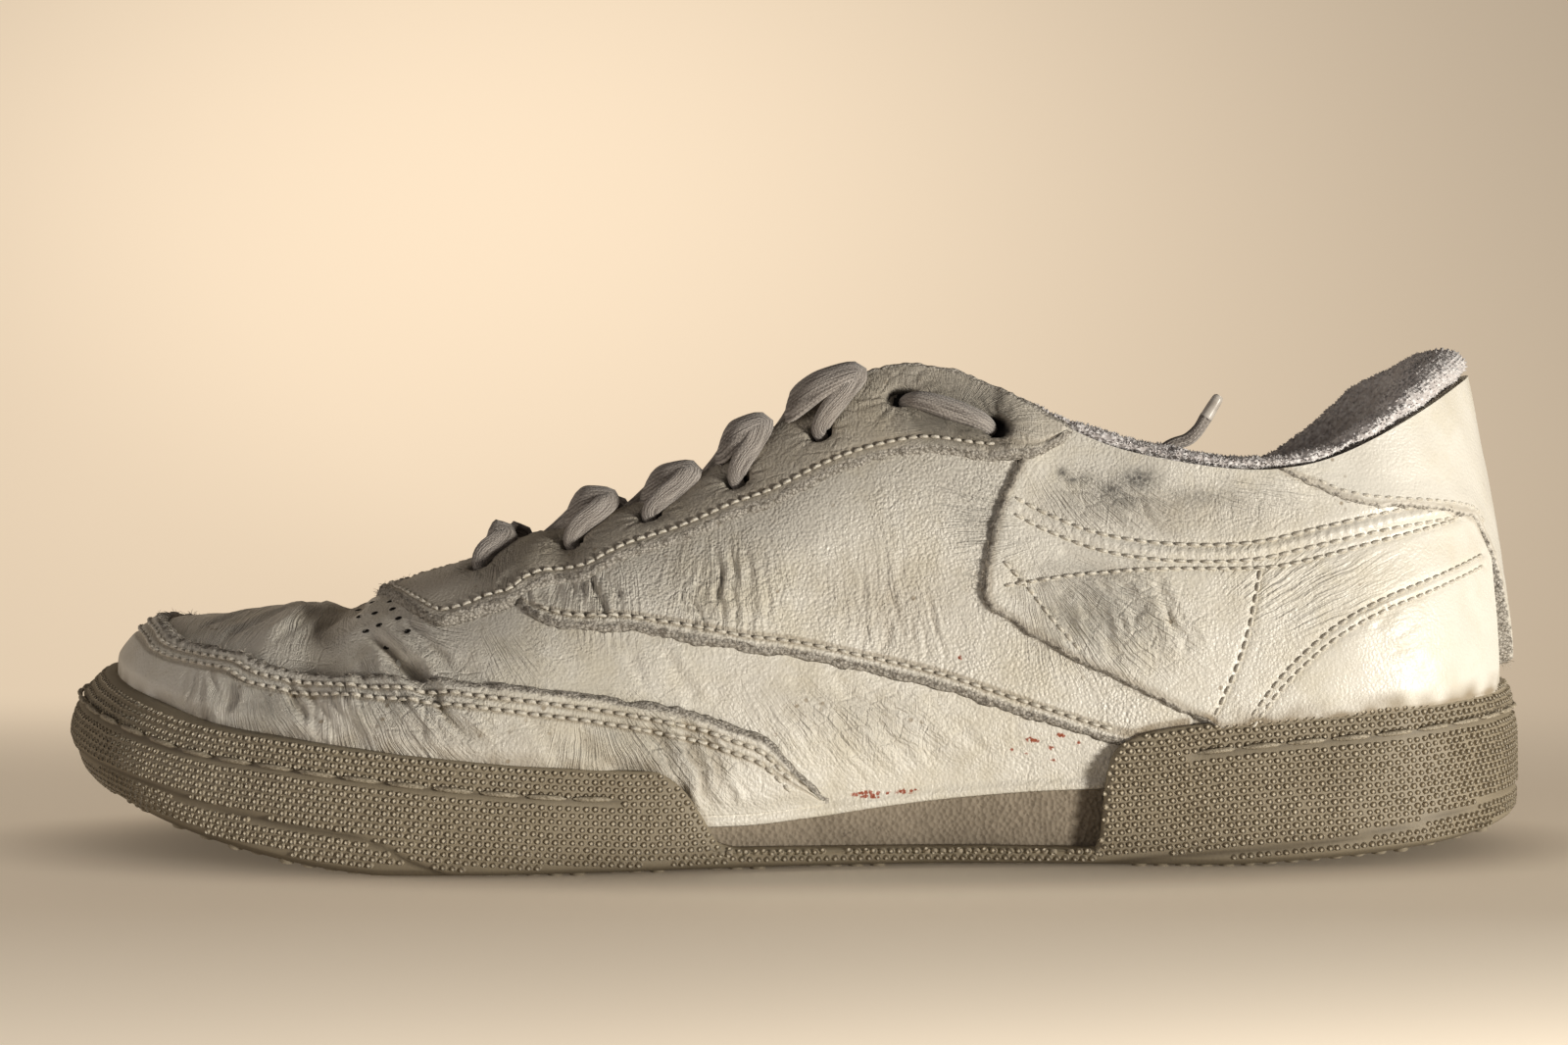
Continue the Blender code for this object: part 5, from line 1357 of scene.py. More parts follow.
def make_fray(edges, material):
    """Loose fibres along the cut edges: bent, tapering three-sided hairs."""
    rng = np.random.default_rng(41)
    bends = ((0.0, 0.055, -0.1), (0.12, 0.05, 0.35), (0.38, 0.035, 0.7), (0.75, 0.012, 0.85))
    shape = MM * np.array([
        [bend, r * np.cos(a), up + r * np.sin(a)] for bend, r, up in bends for a in turns(3)])
    points = []
    for t, v, face, count in edges:
        at = rng.uniform(0, len(t) - 1.001, count)
        low = at.astype(int)
        share = at - low
        stations, heights = (values[low] * (1 - share) + values[low + 1] * share for values in (t, v))
        centres, normals = leather(stations, np.clip(heights, 0, 1), 0)
        centres = centres + normals * (face * rng.uniform(0.25, 0.95, count))[:, None]
        up = unit(normals + rng.normal(0, 0.55, (count, 3)))
        along = unit(np.cross(up, rng.normal(size=(count, 3))))
        points.append(scatter(centres, along, up, shape, random_size(rng, 0.5, 1.5, count)))
    faces = [grid_quads(4, 3, round_columns=True), np.array([[0, 1, 2], [11, 10, 9]])]
    return add_copies("edge_fray", np.concatenate(points), faces, material, "leather")


def cut_edges():
    """The cut edges that fray: stations, v, face and number of fibres."""
    edges = []
    for side in (-1, 1):
        t = between(-50.0, 64.0, side, 200)
        edges.append((t, v_at_height(t, eased(PANEL_LOW, foot_x(t))), PANEL_FACE, 260))
        edges.append((*on_side(*smooth_path(QUARTER_FRONT, 90).T * MM, side), OVERLAY_FACE, 200))
    t = round_toe(0, 500)
    edges.append((t, v_at_height(t, eased(MUDGUARD_HEIGHT, foot_x(t))), OVERLAY_FACE, 800))
    t = round_toe(54 * MM, 500)
    edges.append((t, v_at_depth(t, eased(FACING_DEPTH, foot_x(t))), OVERLAY_FACE, 900))
    t = round_heel(97 * MM, 300)
    edges.append((t, v_at_height(t, eased(TAB_HEIGHT, foot_x(t))), TAB_FACE, 300))
    return edges


# ---------------------------------------------------------------- sole

# Rows of the cup's grid: its wall, those that are evened out, the tread's band and the wall's row
# along which the dots are spaced.
WALL_FIRST, WALL_END, EVENED_FIRST, EVENED_END, BAND_END, SPACED_ROW = 6, 34, 4, 33, 7, 12


def groove_share(x):
    """1 where the wall has its stitched groove, 0 along the arch between the two blocks."""
    return np.maximum(smooth((-29 * MM - x) / (4 * MM)), smooth((x - 76 * MM) / (4 * MM)))


def cup_rings(t):
    """The rubber cup's rings, as in its solid: underside, tread band, wall, lip and inside."""
    toe, heel = toe_share(t), heel_share(t)
    wide = WALL_OUT + TOE_BUMPER * toe + HEEL_FLARE * heel
    edge = outline(t, wide - (2.0 + 6.0 * toe) * MM)
    low = underside(edge[:, 0])
    top = eased(WALL_TOP, foot_x(t))
    high = top - low

    def outer(inset, toe_inset, heel_inset, height):
        return ring(outline(t, wide - (inset + toe_inset * toe + heel_inset * heel) * MM), height)

    rings = [ring(shrunk(edge, share), underside(shrunk(edge, share)[:, 0])) for share in (0.2, 0.5, 0.8)]
    rings.append(ring(edge, low))
    for size, share, inset, toe_inset in (
            (0.9, 0.25, 0.6, 4.6), (2.5, 0.60, 0.0, 3.0), (2.8, 0.70, 0.6, 3.4), (3.3, 0.80, 0.0, 2.4)):
        rings.append(outer(inset, toe_inset, 0, low + np.minimum(size * MM, share * high)))
    above = top - (low + np.minimum(3.3 * MM, 0.80 * high))
    cut = groove_share(foot_x(t))
    rings.append(outer(0, 0, 0, top - 0.55 * np.maximum(above, 0) - 0.25 * np.minimum(6.2 * MM, 0.8 * above)))
    for size, share, inset, toe_inset, heel_inset in (
            (6.2, 0.80, 0.1, 1.6, 0.3), (5.6, 0.65, 0.15 + 0.75 * cut, 1.9 + 0.7 * cut, 0.35 + 0.85 * cut),
            (5.0, 0.50, 0.2, 2.2, 0.4), (0.8, 0.15, 0.7, 5.6, 1.0)):
        rings.append(outer(inset, toe_inset, heel_inset, top - np.minimum(size * MM, share * above)))
    rings.append(outer(1.3, 6.2, 1.5, top))
    floor = underside(foot_x(t)) + FLOOR_THICKNESS
    for share in (1.0, 0.72, 0.42, 0.0):
        height = floor + share * (top - floor)
        inner = upper_point(t, v_at_height(t, height))[:, :2] + CUP_GAP * outward(t)
        rings.append(ring(inner, height))
    inside = outline(t, CUP_GAP)
    for share in (0.7, 0.3):
        plan = shrunk(inside, share)
        rings.append(ring(plan, underside(plan[:, 0]) + FLOOR_THICKNESS))
    return np.stack(rings)


def parted(rings, counts):
    """Each step from ring to ring cut into its count of equal parts."""
    rows = [rings[k] + share * (rings[k + 1] - rings[k])
            for k, count in enumerate(counts) for share in np.arange(count) / count]
    return np.stack(rows + [rings[-1]])


# The moulded step of the toe wall (foot x, height): it runs down, curls under and ends.
STEP_LINE = (
    (-146, 25.5), (-139, 22), (-123, 17.4), (-106, 12.8), (-92, 9.9), (-80, 8), (-74, 6.2), (-69, 3.2),
    (-64, 1.2), (-58, -3), (56, -3), (64, 1), (80, 2.6), (102, 4.9), (138, 12.4), (146, 13.5))


def wall_normals(grid):
    around = np.roll(grid, -1, axis=1) - np.roll(grid, 1, axis=1)
    return unit(np.cross(np.gradient(grid, axis=0), around))


def make_outsole(material):
    """The cup with its moulded step pressed in below the line, and slow waves of wear. Gives the
    stations, the places and the normals of its wall."""
    t = even_stations(640)
    x = foot_x(t)
    grid = parted(cup_rings(t), (1, 1, 2, 2, 2, 1, 2, 7, 5, 2, 2, 4, 2, 1, 2, 1, 1, 1, 1))
    a, b = EVENED_FIRST, EVENED_END
    for _ in range(3):
        grid[a:b] = 0.25 * grid[a - 1:b - 1] + 0.5 * grid[a:b] + 0.25 * grid[a + 1:b + 1]
    normal = wall_normals(grid)
    wall = np.zeros((len(grid), 1))
    wall[WALL_FIRST:WALL_END] = 1
    below = eased(STEP_LINE, x)[None, :] - grid[..., 2]
    press = -0.55 * MM * smooth(below / (0.5 * MM) + 0.5) - 0.35 * MM * bell(below, 0.5 * MM)
    front = smooth((-62 * MM - x) / (8 * MM))
    lift = wall * (press * (0.35 + 0.65 * front) + 0.12 * MM * ripple(grid, 17 * MM, 51))
    points = grid + lift[..., None] * normal
    soil_and_shade = wall * bell(below, 0.6 * MM) + (np.arange(len(grid)) < BAND_END)[:, None] * 0.5
    soil_and_shade = np.clip(soil_and_shade + 0.8 * groove_share(x) * bell(near_groove(t, grid), 0.5 * MM), 0, 1)
    marks = {"proud": 0.0, "soil_and_shade": np.append(soil_and_shade.ravel(), [0.5, 0.5])}
    add_mesh("outsole_rubber", with_middles(points), fan_faces(*grid.shape[:2]), material, "rubber",
             ("outsole",), marks)
    return t, points[WALL_FIRST:WALL_END], normal[WALL_FIRST:WALL_END]


def near_groove(t, grid):
    """Height over the stitch groove of the wall."""
    top = eased(WALL_TOP, foot_x(t))
    low = underside(foot_x(t))
    above = top - low - np.minimum(3.3 * MM, 0.8 * (top - low))
    return grid[..., 2] - (top - np.minimum(5.6 * MM, 0.65 * above))[None, :]


def wall_dots(t, grid, normal, material):
    """Raised dots all over the wall, in staggered rows that follow its upper edge, left out at
    the groove and the step. Each lies where its height crosses its column of the wall."""
    pitch_along, pitch_up = 1.64 * MM, 1.26 * MM
    run = run_along(grid[SPACED_ROW, :, :2])
    columns = int(run[-1] / pitch_along)
    rng = np.random.default_rng(61)
    row, column = (index.ravel() for index in np.meshgrid(np.arange(32), np.arange(columns), indexing="ij"))
    place = (column + 0.5 * (row % 2) + rng.normal(0, 0.05, len(row))) * run[-1] / columns % run[-1]
    at = np.interp(place, run, np.arange(len(t)))
    low, share = at.astype(int), (at - at.astype(int))[None, :, None]
    high = (low + 1) % len(t)
    wall, facing = (values[:, low] * (1 - share) + values[:, high] * share for values in (grid, normal))
    station = np.interp(at, np.arange(len(t)), t)
    x = foot_x(station)
    arch = (x > -11 * MM) & (x < 60.4 * MM)
    top = np.where(arch, eased(WALL_TOP, x) + 0.2 * MM, eased(ROW_LINE, x))
    depth = (0.85 + pitch_up / MM * row) * MM + rng.normal(0, 0.05, len(row)) * MM
    target = top - depth
    k = np.clip((wall[..., 2] < target).sum(axis=0), 1, len(wall) - 1)
    index = np.arange(len(row))
    below, above = wall[k - 1, index], wall[k, index]
    part = np.clip((target - below[:, 2]) / np.maximum(above[:, 2] - below[:, 2], 1e-6), 0, 1)[:, None]
    centres = below + part * (above - below)
    up = unit(facing[k - 1, index] * (1 - part) + facing[k, index] * part)
    groove = near_groove(station, centres[None])[0]
    step = eased(STEP_LINE, x) - centres[:, 2]
    kept = ((target > wall[0, :, 2] + np.where(arch, 0.3, 0.8) * MM) & (target < wall[-1, :, 2] - 0.45 * MM)
            & ((np.abs(groove + 0.1 * MM) > 0.62 * MM) | (groove_share(x) < 0.5)) & (np.abs(step) > 0.7 * MM))
    centres, up, station = centres[kept], up[kept], station[kept]
    shape, faces = cone(((0.80, -0.12), (0.47, 0.50)), 6, squash=0.9)
    size = random_size(rng, 0.85, 1.06, len(centres))
    size[:, 2] *= 1 - 0.5 * toe_share(station)
    dots = scatter(centres, unit(np.cross([0.0, 0.0, 1.0], up)), up, shape, size)
    marks = {"proud": np.tile(np.repeat([0.0, 1.0], 6), len(dots)), "soil_and_shade": 0.0}
    return add_copies("wall_dots", dots, faces, material, "rubber", marks=marks, closed=False)


def wall_thread(t, grid, normal, material):
    """The thread that shows in the groove of the wall: long stitches that dive at their ends."""
    tall = groove_share(foot_x(t)) > 0.6
    groove = np.argmin(np.abs(near_groove(t, grid)), axis=0)
    index = np.arange(len(t))
    places = grid[groove, index] + 0.75 * MM * normal[groove, index] + [0, 0, 0.35 * MM]
    size = np.array([[7.4, 0.55, 0.55]]) * MM
    points = []
    for part in np.split(index, np.where(np.diff(tall.astype(int)) != 0)[0] + 1):
        if tall[part[0]] and len(part) > 20:
            frames = path_frames(places[part], normal[groove[part], part], 8.6 * MM)
            points.append(scatter(*frames, STITCH, size))
    return add_copies("wall_thread", np.concatenate(points), STITCH_FACES, material, "rubber")


def tread_nubs(material):
    """Small studs under the sole, standing on the floor's plane, in a staggered field."""
    pitch = 4.2 * MM
    pitch_across = 0.866 * pitch
    x, y = np.meshgrid(np.arange(-0.150, 0.152, pitch), np.arange(-0.056, 0.062, pitch_across), indexing="ij")
    x = x + 0.5 * pitch * (np.round((y + 0.056) / pitch_across).astype(int) % 2)
    flat = np.stack([x.ravel(), y.ravel()], axis=1)
    t = even_stations(400)
    toe = toe_share(t)
    edge = outline(t, WALL_OUT + TOE_BUMPER * toe + HEEL_FLARE * heel_share(t) - (2.4 + 6.0 * toe) * MM)
    flat = flat[inside_by(flat, edge) > 0.7 * MM]
    x = flat[:, 0]
    slope = (underside(x + MM) - underside(x - MM)) / (2 * MM)
    down = unit(np.column_stack([slope, np.zeros(len(x)), -np.ones(len(x))]))
    shape, faces = cone(((1.55, -0.9), (1.45, 0.0), (1.15, 0.12)), 6)
    studs = scatter(np.column_stack([flat, underside(x)]), unit(np.cross([0.0, 1.0, 0.0], down)), down, shape)
    marks = {"proud": np.tile(np.repeat([0.0, 0.8, 0.9], 6), len(studs)), "soil_and_shade": 0.3}
    return add_copies("tread_studs", studs, faces, material, "rubber", marks=marks, closed=False)


# ---------------------------------------------------------------- inside: foot bed, lining, tongue

def make_insole(material):
    """Foot bed cloth: rings from the middle out over the top and back under, dished at the heel
    and the ball of the foot by use."""
    t = even_stations(220)
    rings = []
    for share in np.linspace(0.03, 1, 22):
        plan = shrunk(outline(t, -3.4 * MM), share)
        distance = 3.5 * MM + (1 - share) * SOLE_HALF_WIDTH
        dish = BED_DISH * smooth((distance - BED_DISH_START) / BED_DISH_RUN)
        height = eased(FEATHER_HEIGHT, plan[:, 0]) - GAP - dish + BED_GAP + INSOLE_THICKNESS
        worn = 0.9 * MM * (bell(plan[:, 0] - 110 * MM, 22 * MM) + bell(plan[:, 0] + 62 * MM, 26 * MM))
        waves = 0.12 * MM * ripple(ring(plan, height), 14 * MM, 71)
        rings.append(ring(plan, height - worn * (1 - share**4) - 0.8 * MM * share**12 + waves))
    foot = outline(t, 0)
    rings.append(ring(outline(t, -3.2 * MM), eased(FEATHER_HEIGHT, foot[:, 0]) + 1.0 * MM))
    for share in (1.0, 0.5, 0.03):
        height = eased(FEATHER_HEIGHT, shrunk(foot, share)[:, 0]) - 0.6 * MM
        rings.append(ring(shrunk(outline(t, -3.6 * MM), share), height))
    grid = np.stack(rings)
    return add_mesh("insole_cloth", with_middles(grid), fan_faces(*grid.shape[:2]), material, "footbed",
                    ("insole",))


def lining_rings(t):
    """The padded roll's section round the collar, as in its solid, as loops of places."""
    x = foot_x(t)
    fade = smooth((x - 34 * MM) / (40 * MM))
    heel = smooth((x - 100 * MM) / (35 * MM))
    depth = (12 + 24 * fade + 8 * heel) * MM
    pad = (1.6 + 4.6 * fade + 1.6 * heel) * MM
    proud = (1.6 + 1.6 * fade + 3.0 * heel) * MM
    inner = UPPER_WALL + 0.2 * GAP
    over = smooth((x - LINING_END) / (12 * MM))
    loops = []
    for low_depth in (1.0, 0.75, 0.5, 0.25, 0.1):
        v = v_at_depth(t, low_depth * depth)
        loops.append(upper_point(t, v) - inner * upper_normal(t, v))
    one = np.ones(len(t))
    rim, normal = upper_point(t, one), upper_normal(t, one)
    rise = unit(rim - upper_point(t, one - 0.02))
    for up, out in ((0.05, 0.0), (0.25, 0.22), (0.55, 0.24), (0.85, 0.05), (1.02, -0.35), (0.98, -0.7),
                    (0.7, -0.98), (0.1, -1.2)):
        sideways = out * pad - inner * (1 - over)
        loops.append(rim + rise * (up * proud)[:, None] + normal * sideways[:, None])
    for low_depth, thick in ((0.12, 1.12), (0.3, 1.0), (0.5, 0.78), (0.75, 0.55), (1.0, 0.2)):
        v = v_at_depth(t, low_depth * depth)
        loops.append(upper_point(t, v) - (inner + thick * pad + 0.5 * MM)[:, None] * upper_normal(t, v))
    return np.stack(loops)


def rounded(loops, parts):
    """Closed Catmull-Rom curve through the loops, parts places to each step."""
    turned = [np.roll(loops, shift, axis=0) for shift in (1, 0, -1, -2)]
    rows = [catmull_rom(*turned, f) for f in np.arange(parts) / parts]
    return np.stack(rows, axis=1).reshape(-1, *loops.shape[1:])


def make_collar(material):
    """Terry roll: rounded rings with soft lumps."""
    grid = rounded(lining_rings(round_heel(LINING_END, 420)), 3)
    normal = unit(np.cross(np.roll(grid, -1, axis=0) - np.roll(grid, 1, axis=0), np.gradient(grid, axis=1)))
    lumps = 0.22 * ripple(grid, 9 * MM, 81) + 0.12 * ripple(grid, 3 * MM, 82)
    lumps += 0.3 * ripple(grid, 26 * MM, 83)
    points = grid + (lumps * MM)[..., None] * normal
    piece = add_mesh("collar_terry", points, roll_faces(*grid.shape[:2]), material, "terry",
                     ("collar_lining",))
    return points, normal


TUFT_COUNT, TUFT_ROWS = 13000, (10, 46)


def make_terry_loops(points, normal, material):
    """Tufts of the terry: short leaning three-sided cones over the roll that shows."""
    rng = np.random.default_rng(91)
    rows, columns = points.shape[:2]
    row = rng.uniform(*TUFT_ROWS, TUFT_COUNT).astype(int) % rows
    column = rng.uniform(1, columns - 2, TUFT_COUNT)
    low = column.astype(int)
    share = (column - low)[:, None]
    centres = points[row, low] * (1 - share) + points[row, low + 1] * share
    up = unit(normal[row, low] + rng.normal(0, 0.45, (len(row), 3)))
    along = unit(np.cross(up, rng.normal(size=(len(row), 3))))
    shape = np.array([[0.26 * np.cos(a), 0.26 * np.sin(a), -0.1] for a in turns(3)] + [[0.1, 0.0, 0.5]]) * MM
    tufts = scatter(centres, along, up, shape, random_size(rng, 0.6, 1.25, len(row)))
    faces = np.array([[0, 1, 3], [1, 2, 3], [2, 0, 3]])
    return add_copies("terry_tufts", tufts, [faces], material, "terry", closed=False)


def throat_height(x):
    """Height of the throat's edges at x, the mean of both sides."""
    rims = (section_row(np.linspace(TOE_STATION, first, 400)) for first in (5.0, 25.0))
    return sum(np.interp(x, rim[:, 2], rim[:, 4]) for rim in rims) / 2


def make_tongue(material):
    """Padded tongue: an arched pad, plump between its hems, dented where the lace presses."""
    x = np.linspace(-86, 32, 110) * MM
    half = eased(TONGUE_HALF_WIDTH, x)
    vamp = upper_point(TOE_STATION, np.linspace(0.5, 1, 60))
    line = np.where(x < -78 * MM, np.interp(x, vamp[:, 0], vamp[:, 2]), throat_height(x))
    centre = line - eased(TONGUE_SINK, x)
    fall = (0.006 + 0.016 * smooth((x + 80 * MM) / (80 * MM))) / MM
    across = np.concatenate([np.linspace(-1, 1, 33), np.linspace(1, -1, 33)[1:-1]])[:, None]
    face = np.concatenate([np.ones(33), -np.ones(31)])[:, None]
    y, out = across * half, np.abs(across)
    plump = np.sqrt(np.clip(1 - out**6, 0.02, 1)) * (1 - 0.25 * bell(out - 0.86, 0.05))
    dent = sum(bell(x - place * MM, 4 * MM) for place, _ in EYELETS[:6])
    thick = TONGUE_THICKNESS * (0.5 * plump - 0.06 * dent)
    z = centre - fall * y**2 + face * thick - TONGUE_THICKNESS * 0.5
    grid = np.stack([np.broadcast_to(x, y.shape), y + MIDDLE_Y, z], axis=-1)
    grid[..., 2] += 0.2 * MM * ripple(grid, 12 * MM, 95)
    piece = add_mesh("tongue_pad", grid, roll_faces(*grid.shape[:2]), material, "terry", ("tongue",))


# ---------------------------------------------------------------- lace

# The lace's section: places across and up of a squarish oval.
BAND = np.array([(np.cos(a) * (1 + 0.12 * abs(np.sin(2 * a))), np.sin(a))
                 for a in np.linspace(0, 2 * np.pi, 15)[:-1]])
LACE_UNDER = UPPER_WALL + 2.0 * MM


def lace_band(stops):
    """Flat lace through stops of (place, up, width, thickness): an oval section, cupped where it
    is wide, carried along a Catmull-Rom path. Gives its places and its cloth coordinates."""
    path, up, size = (smooth_path([stop[part] for stop in stops], 64) for part in (0, 1, slice(2, 4)))
    width, thick = size.T[..., None, None]
    along = unit(np.gradient(path, axis=0))
    side = unit(np.cross(along, unit(up)))
    up = np.cross(side, along)[:, None]
    across, high = BAND.T[:, None, :, None]
    places = (path[:, None] + across * side[:, None] * width / 2 + high * up * thick / 2
              - 0.1 * across**2 * up * width)
    cloth = np.broadcast_arrays(run_along(path)[:, None] / MM, BAND[:, 0] * LACE_WIDTH / 2 / MM)
    return places, np.stack(cloth, axis=-1)


def over(number, side, share, lift, ahead=0.0):
    """A place between an eyelet (share 0) and the throat's edge beside it (share 1), lift above
    the facing and shifted along the shoe, with the face's normal."""
    t, v = EYELET_AXES[(number, side)][:2]
    x = EYELETS[number][0] * MM
    rim, same = rim_station(x + ahead, side), rim_station(x, side)
    t = np.array([t + rim - same]) * (1 - share) + np.array([rim]) * share
    v = np.array([v + share * (0.985 - v)])
    base, normal = upper_point(t, v)[0], upper_normal(t, v)[0]
    return base + lift * normal, normal


# How far each puff of lace reaches from its eyelet: towards the toe, the heel, and its height
# over the facing.
PUFFS = ((2, 6.4, 4.6), (3, 9.8, 5.6), (3, 11.6, 4.6), (4.4, 8.4, 6), (7.6, 9.5, 5.4))


def landing(number, side):
    """Up over the throat's edge with the broad face outward, round the top of the puff, and
    down on its side into the eyelet."""
    toe, heel, tall = np.array(PUFFS[number]) * MM

    def stop(ahead, share, lift, inward, face, width, thick):
        place, normal = over(number, side, share, OVERLAY_FACE + lift, ahead)
        way = unit(np.array([face[0], side * face[1], face[2]]) + 0.3 * normal)
        return place - [0, side * inward * MM, 0], way, width * MM, thick * MM

    hole, normal = over(number, side, 0.0, -0.8 * MM)
    below, _ = over(number, side, 0.02, -LACE_UNDER)
    down = unit(normal + np.array([0.6, 0.0, 0.0]))
    lobe = 3.6 * MM - toe
    return [stop(lobe - 0.2 * MM, 1.0, 0.52 * tall, 3.6, (-0.95, 0.1, 0.35), 7.6, 1.5),
            stop(lobe + 0.5 * MM, 1.0, 0.64 * tall, 1.0, (-0.75, 0.6, 0.35), 7.6, 1.7),
            stop((lobe + 0.8 * heel) / 2, 0.98, 0.80 * tall, -0.3, (-0.35, 0.85, 0.35), 6.4, 1.8),
            stop(0.84 * heel, 0.95, 0.60 * tall, 0.0, (0.3, 0.8, 0.5), 5.0, 1.9),
            stop(0.62 * heel, 0.56, 0.34 * tall + 0.5 * MM, -0.3, (0.75, 0.7, 0.0), 4.4, 1.9),
            stop(0.28 * heel, 0.24, 0.16 * tall + 1.0 * MM, -0.2, (0.5, 0.85, 0.0), 4.2, 1.9),
            stop(0.05 * heel, 0.03, 0.5 * MM, 0.0, (0.3, 0.95, 0.1), 3.6, 2.0),
            (hole, down, 3.1 * MM, 2.3 * MM), (below, down, 3.4 * MM, 2.3 * MM)]


def middle_stop(x, lift, way=(-0.45, 0.0, 0.9)):
    """Where a strand of lace crosses the tongue's middle at x, lift above the throat's edges."""
    return np.array([x, MIDDLE_Y, throat_height(x) + lift]), np.array(way), LACE_WIDTH, LACE_THICKNESS


def crossing(number, side):
    """From under an eyelet and under the facing, across the tongue, and over the other edge."""
    inside, _ = over(number, side, 0.0, -LACE_UNDER)
    edge, up = over(number, side, 0.9, -LACE_UNDER)
    x = (EYELETS[number][0] + EYELETS[number + 1][0]) / 2 * MM
    return [(inside, up, 4.6 * MM, 2.2 * MM), (edge, up, 6.6 * MM, LACE_THICKNESS),
            middle_stop(x, (0.8 + 0.8 * side) * MM)] + landing(number + 1, -side)


def bar(number, back, lift):
    """Straight across from side to side, over both edges and down into the eyelets of a pair."""
    x = (EYELETS[number][0] + back) * MM
    return landing(number, -1)[::-1] + [middle_stop(x, lift)] + landing(number, 1)


def top_bar():
    """The highest strand: from under one facing across the tongue to under the other."""
    parts = []
    for side in (-1, 1):
        inside, up = over(5, side, 0.5, -LACE_UNDER)
        edge, _ = over(5, side, 0.93, -LACE_UNDER)
        back = np.array([-5.5 * MM, 0.0, 0.0])
        parts.append([(inside + back, up, 4.6 * MM, 2.0 * MM), (edge + back, up, 6.2 * MM, LACE_THICKNESS)])
    return parts[0] + [middle_stop(8.5 * MM, 1.2 * MM, (-0.4, 0.0, 0.92))] + parts[1][::-1]


def runner(side):
    """Out of the sixth eyelet, bunched along the facing, and down into the seventh."""
    parts = []
    for number, other in ((5, 6), (6, 5)):
        inside, normal = over(number, side, 0.0, -LACE_UNDER)
        centre = EYELET_AXES[(number, side)][2]
        toward = unit(EYELET_AXES[(other, side)][2] - centre)
        hole = centre + 1.1 * MM * toward + 0.2 * MM * normal
        lip = centre + 4.0 * MM * toward + (OVERLAY_FACE + 0.9 * MM) * normal
        way = unit(normal - toward)
        parts.append([(inside, way, 3.2 * MM, 2.4 * MM), (hole, way, 3.2 * MM, 2.4 * MM),
                      (lip, normal, 3.7 * MM, 2.6 * MM)])
    up = parts[0][2][1]
    middle = (parts[0][2][0] + parts[1][2][0]) / 2 + 0.6 * MM * up
    return parts[0] + [(middle, up, 4.3 * MM, 2.7 * MM)] + parts[1][::-1]


def make_lace(material):
    """Every strand of the laced part as one piece."""
    strands = [bar(0, -2.0, 1.6 * MM)]
    strands += [crossing(number, side) for number in range(4) for side in (-1, 1)]
    strands += [top_bar(), runner(-1), runner(1)]
    bands = [lace_band(stops) for stops in strands]
    places, cloth = (np.concatenate([band[k] for band in bands]) for k in (0, 1))
    rows, columns = bands[0][0].shape[:2]
    faces = [copied(part, len(bands), rows * columns) for part in tube_faces(rows, columns)]
    nodes = ["lace_bar_low", "lace_bar_top", "lace_runner_medial", "lace_runner_lateral"]
    nodes += [f"lace_cross_{k}" for k in (1, 2, 3, 4)]
    return add_mesh("laced_cotton", places, faces, material, "cotton", nodes, cloth=cloth)


def make_lace_end(cotton, plastic):
    """The one loose end: a round cord along its route, and the tip's tapered sleeve."""
    path = smooth_path(LACE_END_ROUTE, 40)
    along = unit(np.gradient(path, axis=0))
    side = unit(np.cross(along, [0.0, 1.0, 0.2]))
    up = np.cross(side, along)
    turn, radius = turns(12), LACE_END_DIAMETER / 2
    ways = np.cos(turn)[None, :, None] * side[:, None] + np.sin(turn)[None, :, None] * up[:, None]
    run = run_along(path)
    swell = radius * (1 + 0.04 * np.sin(run / (0.9 * MM)))
    cloth = np.stack(np.broadcast_arrays(run[:, None] / MM, turn * 1.3), axis=-1)
    cord = add_mesh("lace_end_cord", path[:, None] + swell[:, None, None] * ways, tube_faces(40, 12), cotton,
                    "cotton", ("lace_end",), cloth=cloth)
    steps = ((0.0, 1.0), (0.03, 1.06), (0.08, 1.0), (0.5, 0.96), (0.85, 0.88), (0.95, 0.74), (1.0, 0.45))
    sleeve = [path[-1] + along[-1] * share * AGLET_LENGTH + radius * size * ways[-1] for share, size in steps]
    tip = add_mesh("lace_tip", sleeve, tube_faces(len(steps), 12), plastic, "plastic", ("aglet",))


# ---------------------------------------------------------------- camera, light and floor

SENSOR_WIDTH, FOCAL_LENGTH = 36.0, 48.375
CAMERA_PLACE = (0.0, -0.440, 0.066)

# Lamps: name, place, target, width of the disc, power, colour.
LAMPS = (("key", (0.655, -0.55, -0.01), (0.02, -0.03, 0.045), 0.16, 7.5, (1.0, 0.95, 0.86)),
         ("fill", (-0.8, -0.4, 0.02), (0.0, 0.0, 0.05), 0.6, 2.1, (1.0, 0.90, 0.80)))


def make_camera():
    """Level, square to the medial side, a little above the middle of the upper."""
    data = bpy.data.cameras.new("camera")
    data.sensor_width, data.lens = SENSOR_WIDTH, FOCAL_LENGTH
    data.clip_start = 0.01
    camera = bpy.data.objects.new("camera", data)
    camera.location = CAMERA_PLACE
    camera.rotation_euler = (np.pi / 2, 0.0, 0.0)
    bpy.context.scene.collection.objects.link(camera)
    bpy.context.scene.camera = camera


def add_lamp(name, place, target, size, power, colour):
    data = bpy.data.lights.new(name, "AREA")
    data.shape, data.size, data.energy, data.color = "DISK", size, power, colour
    lamp = bpy.data.objects.new(name, data)
    lamp.location = place
    toward = np.array(target) - np.array(place)
    flat = np.hypot(toward[0], toward[1])
    lamp.rotation_euler = (np.arctan2(flat, -toward[2]), 0.0, np.arctan2(toward[1], toward[0]) - np.pi / 2)
    bpy.context.scene.collection.objects.link(lamp)


